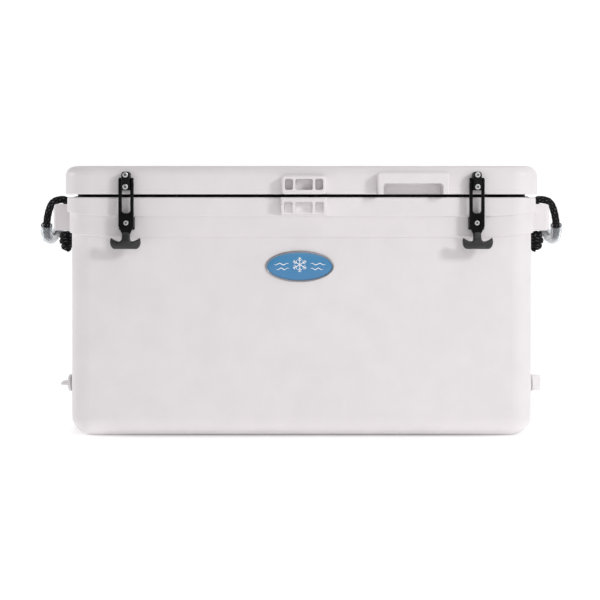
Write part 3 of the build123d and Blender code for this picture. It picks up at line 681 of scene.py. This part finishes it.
VINYL = ClearVinyl("clear vinyl", "clear_vinyl")
SILVER = SilverTrim("satin silver", "silver_trim")
BADGE_BLUE = PrintedGloss("blue badge face", "blue_badge")
BADGE_WHITE = MouldedPolyethylene("badge white", "blue_badge", bright=(0.86, 0.88, 0.9),
                                  dull=(0.8, 0.83, 0.87), roughness=(0.2, 0.3), peel=900.0,
                                  peel_depth=0.00002, wave=60.0, wave_depth=0.00005)
FOAM = PouredFoam("poured foam", "insulating_foam")


# ---------------------------------------------------------------- camera and studio


@dataclass(frozen=True)
class Studio:
    """The camera, the lights and the white sweep that the chest stands on.

    The wall stands at wall_at along Y. The shade is the half sizes in X and Y of the patch under the
    chest where the paper doesn't glow.
    """

    eye: tuple[float, float, float] = (-0.0025, -2.205, 0.4065)
    lens: float = 71.9
    shift: float = -0.1737
    floor_half: float = 6.0
    wall_at: float = 3.2
    wall_round: float = 1.6
    wall_top: float = 5.0
    world: float = 0.21
    shade: tuple[float, float] = (0.41, 0.2)
    glow: float = 0.45

    def camera(self) -> None:
        """A level camera at the height of the seam."""
        data = bpy.data.cameras.new("camera")
        data.lens, data.sensor_width, data.shift_y = self.lens, SENSOR_WIDTH, self.shift
        camera = linked("camera", data)
        camera.location = self.eye
        camera.rotation_euler = (math.pi / 2, 0.0, 0.0)
        bpy.context.scene.camera = camera

    def area(self, name: str, place: Sequence[float], aim: Sequence[float],
             size: tuple[float, float], power: float) -> None:
        """A rectangular light that shines from one place towards another."""
        data = bpy.data.lights.new(name, "AREA")
        data.shape, data.size, data.size_y, data.energy = "RECTANGLE", *size, power
        light = linked(name, data)
        light.location = place
        light.rotation_euler = (Vector(aim) - Vector(place)).to_track_quat("-Z", "Y").to_euler()

    def sweep(self) -> None:
        """A floor that runs back, curves up and becomes a wall, carried along X.

        The paper glows a little, except under the chest, where (x/a)^8 + (y/b)^8 is below one; that
        unglowing patch is painted shade that deepens the chest's contact shadow.
        """
        across = np.array([-self.floor_half, self.floor_half])
        bend = arc((self.wall_at - self.wall_round, self.wall_round), self.wall_round, -90, 0, 24)
        line = np.vstack([[-self.floor_half, 0.0], bend, [self.wall_at, self.wall_top]])
        points = np.zeros((2, len(line), 3))
        points[..., 0] = across[:, None]
        points[..., 1:] = line
        sweep = Surface.grid(points, wrap_columns=False, caps=False).piece("sweep", None)
        sheet = NodeSheet("white paper")
        x, y = (sheet.node("ShaderNodeSeparateXYZ", {}, {"Vector": sheet.place()}, axis) * (1 / half)
                for axis, half in zip("XY", self.shade))
        for _ in range(3):
            x, y = x * x, y * y
        # Painted shade: the glow is taken away under the chest, so the paper there darkens into a contact
        # shadow.
        glow = sheet.blend((x + y).clamped(), (0.0, 0.0, 0.0), (1.0, 1.0, 1.0))
        sheet.set(Base_Color=(0.9, 0.9, 0.9, 1.0), Roughness=0.9, Specular_IOR_Level=0.1,
                  Emission_Color=glow, Emission_Strength=self.glow)
        sweep.data.materials.append(sheet.material)

    def build(self) -> None:
        """Light the studio: a key at the right, a low fill, a left edge light and one overhead."""
        world = bpy.data.worlds.new("studio")
        world.use_nodes = True
        background = world.node_tree.nodes["Background"].inputs
        background["Color"].default_value = (1.0, 1.0, 1.0, 1.0)
        background["Strength"].default_value = self.world
        bpy.context.scene.world = world
        bpy.context.scene.view_settings.view_transform = "Standard"
        self.sweep()
        self.area("key", (3.0, -2.8, 2.0), (0.1, 0.0, 0.3), (0.7, 0.7), 64.0)
        self.area("fill", (0.3, -3.6, 1.3), (0.1, 0.0, 0.3), (1.2, 1.0), 11.0)
        self.area("edge", (-2.6, 0.0, 1.0), (-0.4, 0.0, 0.3), (0.8, 0.8), 19.0)
        self.area("overhead", (0.95, -0.35, 2.4), (0.3, 0.0, 0.4), (2.2, 1.2), 18.0)


# ---------------------------------------------------------------- rope handles


@dataclass(frozen=True)
class Braid:
    """A diamond braid's relief on a rope, as a function of its length and its turn."""

    strands: int = 7
    cell: float = 0.0062
    height: float = 0.0011

    def relief(self, along: Array, turn: Array) -> Array:
        """How far the yarn stands out of the rope's core.

        The two families of strands are the lines where u and v are whole numbers, and the cells
        of a chequerboard in u and v show one family or the other. Each strand's height is an
        arch across its width, flattened along it where it dives under the next.

        Args:
            along: Distance along the rope, in metres.
            turn: Angle round the rope, in radians.
        """
        round_ = self.strands * turn / (2 * math.pi)
        u, v = round_ + along / (2 * self.cell), round_ - along / (2 * self.cell)
        over = (np.floor(u) + np.floor(v)) % 2 == 0
        arch_u, arch_v = np.abs(np.sin(math.pi * u)), np.abs(np.sin(math.pi * v))
        first = arch_u**0.55 * arch_v**0.28
        second = arch_v**0.55 * arch_u**0.28
        return self.height * np.where(over, first, second)


@dataclass
class RopeHandle:
    """One end's rope, its stopper knots and the clear tube that is gripped.

    The holes lie hole_out from the tub's middle and hole_y from the middle of its depth, and lie is
    the height of the rope's line over a lug. The braid swells by loose past the rope's radius. A
    knot is knot_turns of rope of radius strand, coiled round a core, its first turn knot_drop
    under a lug.
    """

    side: Side
    rope: float = 0.012
    hole_out: float = 0.413
    hole_y: float = 0.090
    lie: float = 0.3988
    lug_bottom: float = 0.346
    tube_outer: float = 0.0100
    tube_inner: float = 0.0072
    tube_ease: float = 0.0006
    loose: float = 0.0006
    knot_reach: float = 0.0148
    strand: float = 0.0063
    knot_turns: float = 2.7
    knot_drop: float = 0.0072
    knot_tall: float = 0.0255
    core: float = 0.0115
    core_tall: float = 0.030
    braid: Braid = field(default_factory=Braid)

    def route(self) -> list[tuple[float, float, float]]:
        """The rope's points from the front knot to the rear one, mirrored about the middle."""
        up_hole = [(0.0, 0.0, self.lug_bottom - self.lie), (0.0, 0.0, -0.030), (0.0, 0.0, -0.012)]
        over_lug = [
            (0.0015, 0.0, 0.0005),
            (0.0110, 0.0010, 0.0017),
            (0.0270, 0.0060, -0.0023),
            (0.0360, 0.0140, -0.0183),
            (0.0420, 0.0240, -0.0413),
            (0.0455, 0.0420, -0.0623),
            (0.0475, 0.0730, -0.0708),
        ]
        front = [(self.side.value * (self.hole_out + x), y - self.hole_y, self.lie + z)
                 for x, y, z in up_hole + over_lug]
        return front + [(x, -y, z) for x, y, z in reversed(front)]

    def braided(self, path: Array, radius: float, columns: int = 60, spacing: float = 0.0006,
                pull: Callable[[Array], Array] | None = None) -> Surface:
        """A braided rope along a path, its ends closed.

        Args:
            path: The points that the rope follows.
            radius: The rope's outer radius.
            columns: Points round the rope.
            spacing: Distance between its rings.
            pull: What the radius is multiplied by, as a function of the share of the length.
        """
        line = even_path(path, spacing)
        along = np.linspace(0, path_length(line), len(line))[:, None]
        turn = full_turn(columns)
        reach = radius - self.braid.height + self.braid.relief(along, turn)
        if pull is not None:
            reach = reach * pull(along / along[-1])
        braids = (float(along[-1, 0]) / (2 * self.braid.cell), float(self.braid.strands))
        return Surface.grid(rings_round(line, reach, turn), uv_scale=braids)

    def knot(self, end: End) -> Surface:
        """The front or rear knot: rope coiled round a core under a lug, drawn in at its foot.

        The coils' helix has the radius r = reach * sqrt(1 - w^1.7), where w grows from 0 to 1 down
        the last 72% of it, and the core narrows in much the same way.
        """
        middle = np.array([self.side.value * self.hole_out, end.value * self.hole_y, self.lug_bottom])
        t = np.linspace(0, 1, 320)
        out = (self.knot_reach - self.strand) * np.sqrt(1 - np.clip((t - 0.28) / 0.72, 0, 1) ** 1.7)
        out = out * np.clip(t * 8, 0, 1) ** 0.5
        angle = self.side.value * 2 * math.pi * self.knot_turns * t + 1.2 * end.value
        drop = self.knot_drop + self.knot_tall * t
        coils = middle + np.stack([out * np.cos(angle), out * np.sin(angle), -drop], 1)
        core = middle + np.linspace([0, 0, -0.002], [0, 0, -0.002 - self.core_tall], 30)
        filling = self.braided(core, self.core, 40, 0.0008,
                               lambda share: np.sqrt(1 - 0.9 * np.clip(share * 1.4 - 0.4, 0, 1) ** 2))
        return self.braided(coils, self.strand, 40, 0.0007).joined(filling)

    def tube(self, path: Array) -> Surface:
        """The clear tube round a part of the rope's line, its ends cut square and slightly eased.

        Its rings run along the outer wall, over the end face and back through the bore.
        """
        line = even_path(path, 0.002)
        last, along = len(line) - 1, np.arange(len(line))
        rows = np.concatenate([[0, 0], along, [last, last], along[::-1]])
        outer, inner, eased = self.tube_outer, self.tube_inner, self.tube_outer - self.tube_ease
        radii = np.concatenate([[inner, eased], 0 * along + outer, [eased, inner], 0 * along + inner])
        return Surface.grid(rings_round(line, radii[:, None], full_turn(48), rows), wrap_rows=True)

    def build(self) -> None:
        """Make the rope, its knots and its grip, and hide the frame's parts that they stand in for."""
        side, name = self.side.value, self.side.label
        line = smooth_route(self.route())
        rope = self.braided(line, self.rope / 2 + self.loose).piece(f"rope_{name}", None)
        ROPE_YARN.dress(rope)
        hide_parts(f"handle_rope_{name}")
        knots = self.knot(End.FRONT).joined(self.knot(End.REAR)).piece(f"stopper_knots_{name}", None)
        ROPE_YARN.fit(knots, "tub", f"rope_ends_{name}")
        low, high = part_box(f"handle_grip_{name}")
        held = line[(line[:, 1] > low[1]) & (line[:, 1] < high[1]) & (line[:, 2] < high[2])]
        VINYL.fit(self.tube(held).piece(f"grip_tube_{name}"), f"handle_{name}", f"handle_grip_{name}")
        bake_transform(rope)
        even = even_path(line, 0.002)
        log.info("rope %s: %.3f m", name, path_length(even))


# ---------------------------------------------------------------- latches


@dataclass
class Latch:
    """A rubber T latch on its pin: two eyes, a slotted body, a ledge and a T grip.

    Every reach is a distance down from the pin's axis. The neck leans out by grip_out and flares
    by neck_flare at each side. The ledge is the hook behind it, which catches the keeper.
    """

    side: Side
    width: float = 0.0252
    thick: float = 0.009
    edge: float = 0.0013
    eye: float = 0.006
    eye_ease: float = 0.0011
    pin: float = 0.00255
    slot_width: float = 0.0146
    slot_reach: float = 0.053
    slot_corner: float = 0.0050
    window_reach: float = 0.069
    window: float = 0.011
    body_reach: float = 0.076
    neck_reach: float = 0.086
    neck: float = 0.0135
    scallop_reach: float = 0.0993
    tip_reach: float = 0.0938
    foot_reach: float = 0.1122
    foot_rise: float = 0.0100
    grip_half: float = 0.0248
    grip_thick: float = 0.0136
    grip_out: float = 0.006
    neck_flare: float = 0.0030
    ledge_reach: float = 0.081
    ledge_out: float = 0.0128
    ledge_tall: float = 0.0058

    @property
    def origin(self) -> Array:
        """The middle of the latch's pin."""
        joint = next(j for j in frame["joints"] if j["name"] == f"latch_swing_{self.side.label}")
        return np.array(joint["pos_m"], float)

    def body(self) -> Surface:
        """The strap's flat body, with its slot and its round window."""
        half, neck, inner = self.width / 2 - 0.0002, self.neck / 2, self.slot_width / 2
        top, body, foot = -0.001, -self.body_reach, -self.neck_reach
        side = np.array([[-half, top], [-half, body + 0.0012], [0.0006 - half, body],
                         [-neck - 0.0007, foot + 0.0008], [-neck, foot - 0.0006], [-neck, foot - 0.0020]])
        corner = arc((self.slot_corner - inner, self.slot_corner - self.slot_reach), self.slot_corner,
                     180, 270, 10)
        slot = np.vstack([[-inner, top], [-inner, 0.0055 - self.slot_reach], corner])
        mirror = [-1, 1]
        outline = np.vstack([side, side[::-1] * mirror, slot * mirror, slot[::-1]])
        t = full_turn(28)
        window = np.stack([np.cos(t), np.sin(t)], 1) * self.window / 2 - [0.0, self.window_reach]
        return flat_plate([outline, window], self.thick, self.edge, self.stand)

    def neck_bend(self) -> Surface:
        """The neck, a superellipse section that leans out on its way down and swells into the grip."""
        t = np.linspace(0, 1, 21)
        drop = self.neck_reach - 0.0015 + (self.scallop_reach + 0.0035 - self.neck_reach) * t
        lean = self.grip_out * t**1.2
        wide = self.neck / 2 + self.neck_flare * np.clip((t - 0.55) / 0.45, 0, 1) ** 2
        shape_x, shape_y = superellipse(full_turn(36), 0.35, 0.45)
        y = self.thick / 2 * shape_y - lean[:, None]
        points = np.stack([wide[:, None] * shape_x, y, -drop[:, None] + 0 * y], -1)
        return Surface.grid(self.origin + points)

    def stand(self, flat: Array) -> Array:
        """Stand a plate of the XY plane up in the latch's own place, its +Z forwards."""
        return self.origin + np.stack([flat[:, 0], -flat[:, 2], flat[:, 1]], 1)

    def eyes(self) -> list[Surface]:
        """The two round ends that turn on the pin: a bored barrel with eased edges."""
        inner, ease, eye = self.slot_width / 2, self.eye_ease, self.eye
        wide = self.width / 2 - 0.0003 - inner
        profile = np.array([[0, self.pin], [0, eye - ease], [ease * 0.3, eye - ease * 0.3], [ease, eye],
                            [wide - ease, eye], [wide - ease * 0.3, eye - ease * 0.3],
                            [wide, eye - ease], [wide, self.pin]])
        return [revolve(profile, self.origin + [sign * inner, 0, 0], (sign, 0, 0), 40, closed=True)
                for sign in (-1, 1)]

    def grip(self) -> Surface:
        """The T grip, lofted along X.

        At each X the section is a superellipse between a lower and an upper edge. The upper edge
        is lowest beside the neck and rises to the tips; the lower edge rounds up at both ends.
        """
        s = np.linspace(-1, 1, 61)
        x = self.grip_half * np.sin(s * math.pi / 2)
        out = np.abs(x) / self.grip_half
        neck = self.neck / 2 / self.grip_half
        wing = np.clip((out - neck) / (1 - neck), 0, 1)
        rise = np.clip((wing - 0.3) / 0.62, 0, 1) ** 1.5
        top = -self.scallop_reach + (self.scallop_reach - self.tip_reach) * rise
        top = top + 0.0025 * np.clip(1 - wing / 0.16, 0, 1) ** 2
        top = top - 0.0040 * np.clip((out - 0.965) / 0.035, 0, 1) ** 2
        rounding = 1 - np.sqrt(1 - np.clip((out - 0.68) / 0.32, 0, 1) ** 2.2)
        foot = -self.foot_reach + self.foot_rise * rounding
        depth = self.grip_thick / 2 * (1 - 0.42 * out**3)
        t = full_turn(32)
        shape_y, shape_z = superellipse(t, np.where(np.sin(t) < 0, 1.0, 0.55), 0.55)
        middle, half = (top + foot) / 2, (top - foot) / 2
        front = -(self.grip_thick - self.thick) / 2 - self.grip_out
        points = np.stack([x[:, None] + 0 * t, front + depth[:, None] * shape_y,
                           middle[:, None] + half[:, None] * shape_z], -1)
        return Surface.grid(self.origin + points)

    def ledge(self) -> Surface:
        """The hook behind the neck, whose top is an arc about the pin that catches the keeper."""
        half = self.neck / 2 - 0.0002
        depth = np.linspace(0.0, self.ledge_out, 9)
        top = -np.sqrt((self.ledge_reach + 0.0002) ** 2 - depth**2)
        low = -self.ledge_reach - self.ledge_tall + 0.003 * np.linspace(0, 1, 9) ** 2
        yz = np.vstack([np.stack([depth, top], 1), np.stack([depth, low], 1)[::-1]])
        x = np.array([-half, -half + 0.0006, half - 0.0006, half])
        draw = np.array([0.96, 1.0, 1.0, 0.96])
        middle = yz.mean(0)
        rings = middle + (yz - middle) * draw[:, None, None]
        points = np.concatenate([np.broadcast_to(x[:, None, None], (4, 18, 1)), rings], -1)
        return Surface.grid(self.origin + points)

    def build(self) -> None:
        """Make the strap, and its neck and grip, whose paler rubber colour is painted sheen for the light
        that their front catches.
        """
        name = self.side.label
        strap = self.body().joined(*self.eyes(), self.ledge()).piece(f"latch_rubber_{name}", 50.0)
        grip = self.neck_bend().joined(self.grip()).piece(f"latch_grip_{name}", 50.0)
        for piece, rubber in ((strap, RUBBER), (grip, SHEEN_PAINTED_RUBBER)):
            rubber.fit(piece, f"latch_{name}", f"latch_strap_{name}")
            log.info("latch %s: %s has %d faces", name, piece.name, len(piece.data.polygons))


# ---------------------------------------------------------------- small parts


def rounded_rectangle(half_x: float, half_y: float, corner: float, inset: float) -> Array:
    """A rounded rectangle's outline, inset from its edge, anticlockwise from the right side.

    Straight sides are joined by quarter circles about the four corners' centres.
    """
    x, y = half_x - corner, half_y - corner
    quarters = (((x, y), 0), ((-x, y), 90), ((-x, -y), 180), ((x, -y), 270))
    return np.vstack([arc(centre, corner - inset, start, start + 90, 16) for centre, start in quarters])


@dataclass
class Gasket:
    """The black lid seal: a soft bulb with a lip each side, carried round the lid.

    The corner is the radius of its outer corners, and lip that of its two lower edges.
    """

    corner: float = 0.0275
    width: float = 0.012
    height: float = 0.0048
    lip: float = 0.0012

    def build(self) -> None:
        """Carry the seal's closed profile round the rounded rectangle of its outer edge."""
        low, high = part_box("lid_gasket")
        bottom, seat = low.z, low.z + self.height
        lip = arc((self.lip, bottom + self.lip), self.lip - 0.0001, 180, 270, 5)
        t = np.linspace(0, math.pi, 15)
        bulb = np.stack([self.width / 2 - 0.0042 * np.cos(t), bottom + 0.0006 * (1 - np.sin(t))], 1)
        inner_lip = arc((self.width - self.lip, bottom + self.lip), self.lip - 0.0001, 270, 360, 5)
        tongue = np.array([[self.width, seat], [0.008, seat], [0.008, high.z], [0.004, high.z],
                           [0.004, seat], [0.0, seat]])
        profile = np.vstack([lip, bulb, inner_lip, tongue])
        rings = np.stack([rounded_rectangle(high.x, high.y, self.corner, inset) for inset in profile[:, 0]])
        points = np.concatenate([rings, np.broadcast_to(
            profile[:, 1][:, None, None], (*rings.shape[:2], 1))], -1)
        seal = Surface.grid(points, wrap_rows=True).piece("lid_seal")
        RUBBER.fit(seal, "lid", "lid_gasket")


@dataclass
class Badge:
    """An oval badge with a silver rim, a domed blue face and a snowflake between waves.

    Each of the twigs is its place as a share of an arm and its length, and each of the wave_rows
    is its height above the middle and its length.
    """

    points_round: int = 128
    rim_width: float = 0.0032
    rim_round: float = 0.0016
    dome_edge: float = 0.0010
    dome_rise: float = 0.0008
    arm: float = 0.0125
    arm_width: float = 0.0015
    twigs: tuple[tuple[float, float], ...] = ((0.5, 0.0045), (0.78, 0.003))
    twig_width: float = 0.0011
    mark_rise: float = 0.0006
    wave_start: float = 0.0175
    wave_rows: tuple[tuple[float, float], ...] = ((0.004, 0.026), (-0.004, 0.022))
    wave_swing: float = 0.0013
    wave_half: float = 0.0009

    def raised(self, node: str, rings: Sequence[tuple[float, float]], middle: Vector, wall: float,
               closed: bool) -> Surface:
        """Ellipses with the half sizes of a node's box, inset and raised ring by ring."""
        low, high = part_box(node)
        t = full_turn(self.points_round)
        points = [np.stack([middle.x + ((high.x - low.x) / 2 - inset) * np.cos(t), 0 * t + wall - rise,
                            middle.z + ((high.z - low.z) / 2 - inset) * np.sin(t)], 1)
                  for inset, rise in rings]
        return Surface.grid(np.stack(points), wrap_rows=closed)

    def bar(self, start: Array, end: Array, width: float, wall: float, rise: float) -> Surface:
        """A thin raised bar with a rounded crown between two points of the face."""
        run = end - start
        side = np.array([-run[1], run[0]]) / np.linalg.norm(run)
        t = np.linspace(0, math.pi, 7)
        across, up = np.cos(t) * width / 2, rise * np.sin(t)
        return Surface.grid(np.stack([
            np.stack([p[0] + side[0] * across, wall - up, p[1] + side[1] * across], 1)
            for p in (start, end)]))

    def snowflake(self, middle: Vector, wall: float) -> Surface:
        """Six arms at 60 degrees, each with two pairs of twigs."""
        centre = np.array([middle.x, middle.z + 0.003])
        bars = []
        for arm in range(6):
            angle = math.radians(30 + 60 * arm)
            way = self.arm * np.array([math.cos(angle), math.sin(angle)])
            bars.append(self.bar(centre, centre + way, self.arm_width, wall, self.mark_rise + 0.0001))
            for share, twig in self.twigs:
                root = centre + way * share
                for lean in (angle - math.radians(55), angle + math.radians(55)):
                    tip = root + twig * np.array([math.cos(lean), math.sin(lean)])
                    bars.append(self.bar(root, tip, self.twig_width, wall, self.mark_rise))
        return bars[0].joined(*bars[1:])

    def waves(self, middle: Vector, wall: float) -> Surface:
        """Two wave lines either side of the snowflake: sine curves with tapering ends."""
        made = []
        t, turn = np.linspace(0, 1, 33)[:, None], np.linspace(0, math.pi, 7)
        half = self.wave_half * np.sin(math.pi * np.clip(t, 0.02, 0.98)) ** 0.5
        for sign in (-1, 1):
            for row, length in self.wave_rows:
                x = middle.x + sign * (self.wave_start + length * t)
                z = middle.z + row + self.wave_swing * np.sin(t * math.pi * 4)
                y = wall - self.mark_rise * np.sin(turn) + 0 * t
                made.append(Surface.grid(np.stack([x + 0 * turn, y, z + half * np.cos(turn)], -1)))
        return made[0].joined(*made[1:])

    def build(self) -> None:
        """Make the rim, the face and what is raised on it."""
        low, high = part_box("badge_rim")
        middle, wall, proud = (low + high) / 2, high.y, high.y - low.y
        crown = arc((self.rim_round, proud - self.rim_round), self.rim_round, 180, 0, 11)
        rings = [(0.0, 0.0), *map(tuple, crown), (self.rim_width, 0.0)]
        rim = self.raised("badge_rim", rings, middle, wall, True).piece("badge_rim_plated")
        SILVER.fit(rim, "tub", "badge_rim")
        low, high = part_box("badge_face")
        dome = [(0.0, 0.0), (0.0, self.dome_edge)] + [
            ((high.z - low.z) / 2 * (1 - math.cos(a)), self.dome_edge + self.dome_rise * math.sin(a))
            for a in np.linspace(0.15, math.pi / 2 - 0.05, 10)]
        face = self.raised("badge_face", dome, middle, wall, False).piece("badge_face_domed")
        BADGE_BLUE.fit(face, "tub", "badge_face")
        mark = self.snowflake(middle, low.y + 0.0001).joined(self.waves(middle, low.y + 0.0002))
        BADGE_WHITE.fit(mark.piece("badge_snowflake"), "tub", "badge_face")


@dataclass
class DrainPlug:
    """A screw-out drain plug with a wing, and the ribbed seal under its cap.

    The crest is the thread's outer radius and cap is the cap's. The cap is cap_tall thick and a
    little hollow, by dish. The shank's length is shank, and rib is the depth between the seal's ribs.
    """

    side: Side
    pitch: float = 0.003
    thread: float = 0.0011
    crest: float = 0.01185
    shank: float = 0.040
    cap: float = 0.0145
    cap_tall: float = 0.0045
    cap_round: float = 0.0015
    dish: float = 0.0002
    wing_half: float = 0.0144
    wing_thick: float = 0.0039
    wing_out: float = 0.0122
    seal_thick: float = 0.005
    seal_inner: float = 0.0121
    seal_outer: float = 0.0150
    rib: float = 0.0005

    def ridge(self, along: Array, turn: Array) -> Array:
        """The thread: a helix of one ridge for each pitch, faded out at both ends of the shank."""
        wave = 0.5 + 0.5 * np.cos(2 * math.pi * along / self.pitch - turn)
        fade = np.clip((along - 0.001) / 0.002, 0, 1) * np.clip((0.036 - along) / 0.002, 0, 1)
        return -self.thread * (1 - wave) * fade

    def plug(self, start: Array, out: int) -> Surface:
        """The threaded shank and the eased cap, revolved about the drain's axis."""
        shank = np.stack([np.linspace(0.0, self.shank - 0.0002, 160), np.full(160, self.crest)], 1)
        top, round_ = self.shank + self.cap_tall, self.cap_round
        cap = np.vstack([[self.shank, self.cap], [self.shank + 0.0005, self.cap],
                         arc((top - round_, self.cap - round_), round_, 90, 0, 6),
                         [top, 0.0100], [top - self.dish, 0.0020]])
        return revolve(np.vstack([shank, cap]), start, (out, 0, 0), 72, self.ridge)

    def wing(self, root: Array, out: int, turn: float) -> Surface:
        """The finger wing: superellipse sections that waist in the middle and round off outwards.

        Args:
            root: Where the wing leaves the cap.
            out: The sign of outwards along X.
            turn: The wing's angle from upright, in degrees.
        """
        reach = np.linspace(0, 1, 22)[:, None]
        half_w = self.wing_half * (1 - 0.28 * np.clip((reach - 0.45) / 0.55, 0, 1) ** 2.4)
        half_t = self.wing_thick * (1 - 0.25 * reach)
        shape_w, shape_t = superellipse(full_turn(48), 0.5, 0.6)
        waist = 1 - 0.34 * (1 - np.abs(shape_w))
        up, across = half_w * shape_w, half_t * shape_t * waist
        angle = math.radians(turn)
        y = across * math.cos(angle) - up * math.sin(angle)
        z = across * math.sin(angle) + up * math.cos(angle)
        x = out * self.wing_out * np.sin(reach * math.pi / 2) + 0 * y
        return Surface.grid(root + np.stack([x, y, z], -1))

    def seal(self, start: Array, out: int) -> Surface:
        """A rubber washer with three ribs round its edge."""
        t = np.linspace(0, 1, 31)
        edge = self.seal_outer - self.rib * (0.5 - 0.5 * np.cos(t * 6 * math.pi))
        edge = edge - 0.0004 * (2 * t - 1) ** 8
        profile = np.vstack([[0.0, self.seal_inner], np.stack([self.seal_thick * t, edge], 1),
                             [self.seal_thick, self.seal_inner]])
        return revolve(profile, start, (out, 0, 0), 96, closed=True)

    def build(self) -> None:
        """Make the plug and its seal where the frame has them."""
        name, out = self.side.label, self.side.value
        low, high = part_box(f"drain_seal_{name}")
        middle = (low + high) / 2
        seal_at = np.array([out * min(abs(low.x), abs(high.x)), middle.y, middle.z])
        seal = self.seal(seal_at, out).piece(f"drain_washer_{name}", 60.0)
        PALE_RUBBER.fit(seal, f"drain_seal_body_{name}", f"drain_seal_{name}")
        cap_at = seal_at + [out * self.seal_thick, 0, 0]
        wing = self.wing(cap_at + [out * 0.0042, 0, 0], out, 8.0 if self.side is Side.RIGHT else 90.0)
        plug = self.plug(cap_at - [out * self.shank, 0, 0], out).joined(wing)
        WHITE_NYLON.fit(plug.piece(f"drain_screw_{name}", 45.0), f"drain_plug_body_{name}",
                        f"drain_plug_{name}")


FRAME_FINISHES: tuple[tuple[Finish, tuple[str, ...]], ...] = (
    (POLYETHYLENE, ("tub_shell", "lid_shell", "foam_filling_plugs")),
    (WHITE_NYLON, ("drain_sleeve",)),
    (FOAM, ("tub_foam", "lid_foam")),
    (NYLON, ("latch_anchor", "latch_keeper", "hinge_upper", "hinge_lower")),
    (STEEL, ("anchor_screws", "keeper_screws", "hinge_screws", "hinge_pins", "latch_pins")),
)


def dress_frame() -> None:
    """Dress the frame's own parts that keep their shape, by how their nodes' names begin."""
    for node, piece in frame["nodes"].items():
        for finish, starts in FRAME_FINISHES:
            if node.startswith(starts):
                finish.dress(piece)
                log.info("%s: %s", node, finish.name)


def main() -> None:
    """Build the studio and the chest."""
    logging.basicConfig(level=logging.INFO, format="%(message)s")
    studio = Studio()
    studio.camera()
    for side in Side:
        RopeHandle(side).build()
    studio.build()
    for side in Side:
        Latch(side).build()
        DrainPlug(side).build()
    Gasket().build()
    Badge().build()
    dress_frame()


if __name__ == "__main__":
    main()
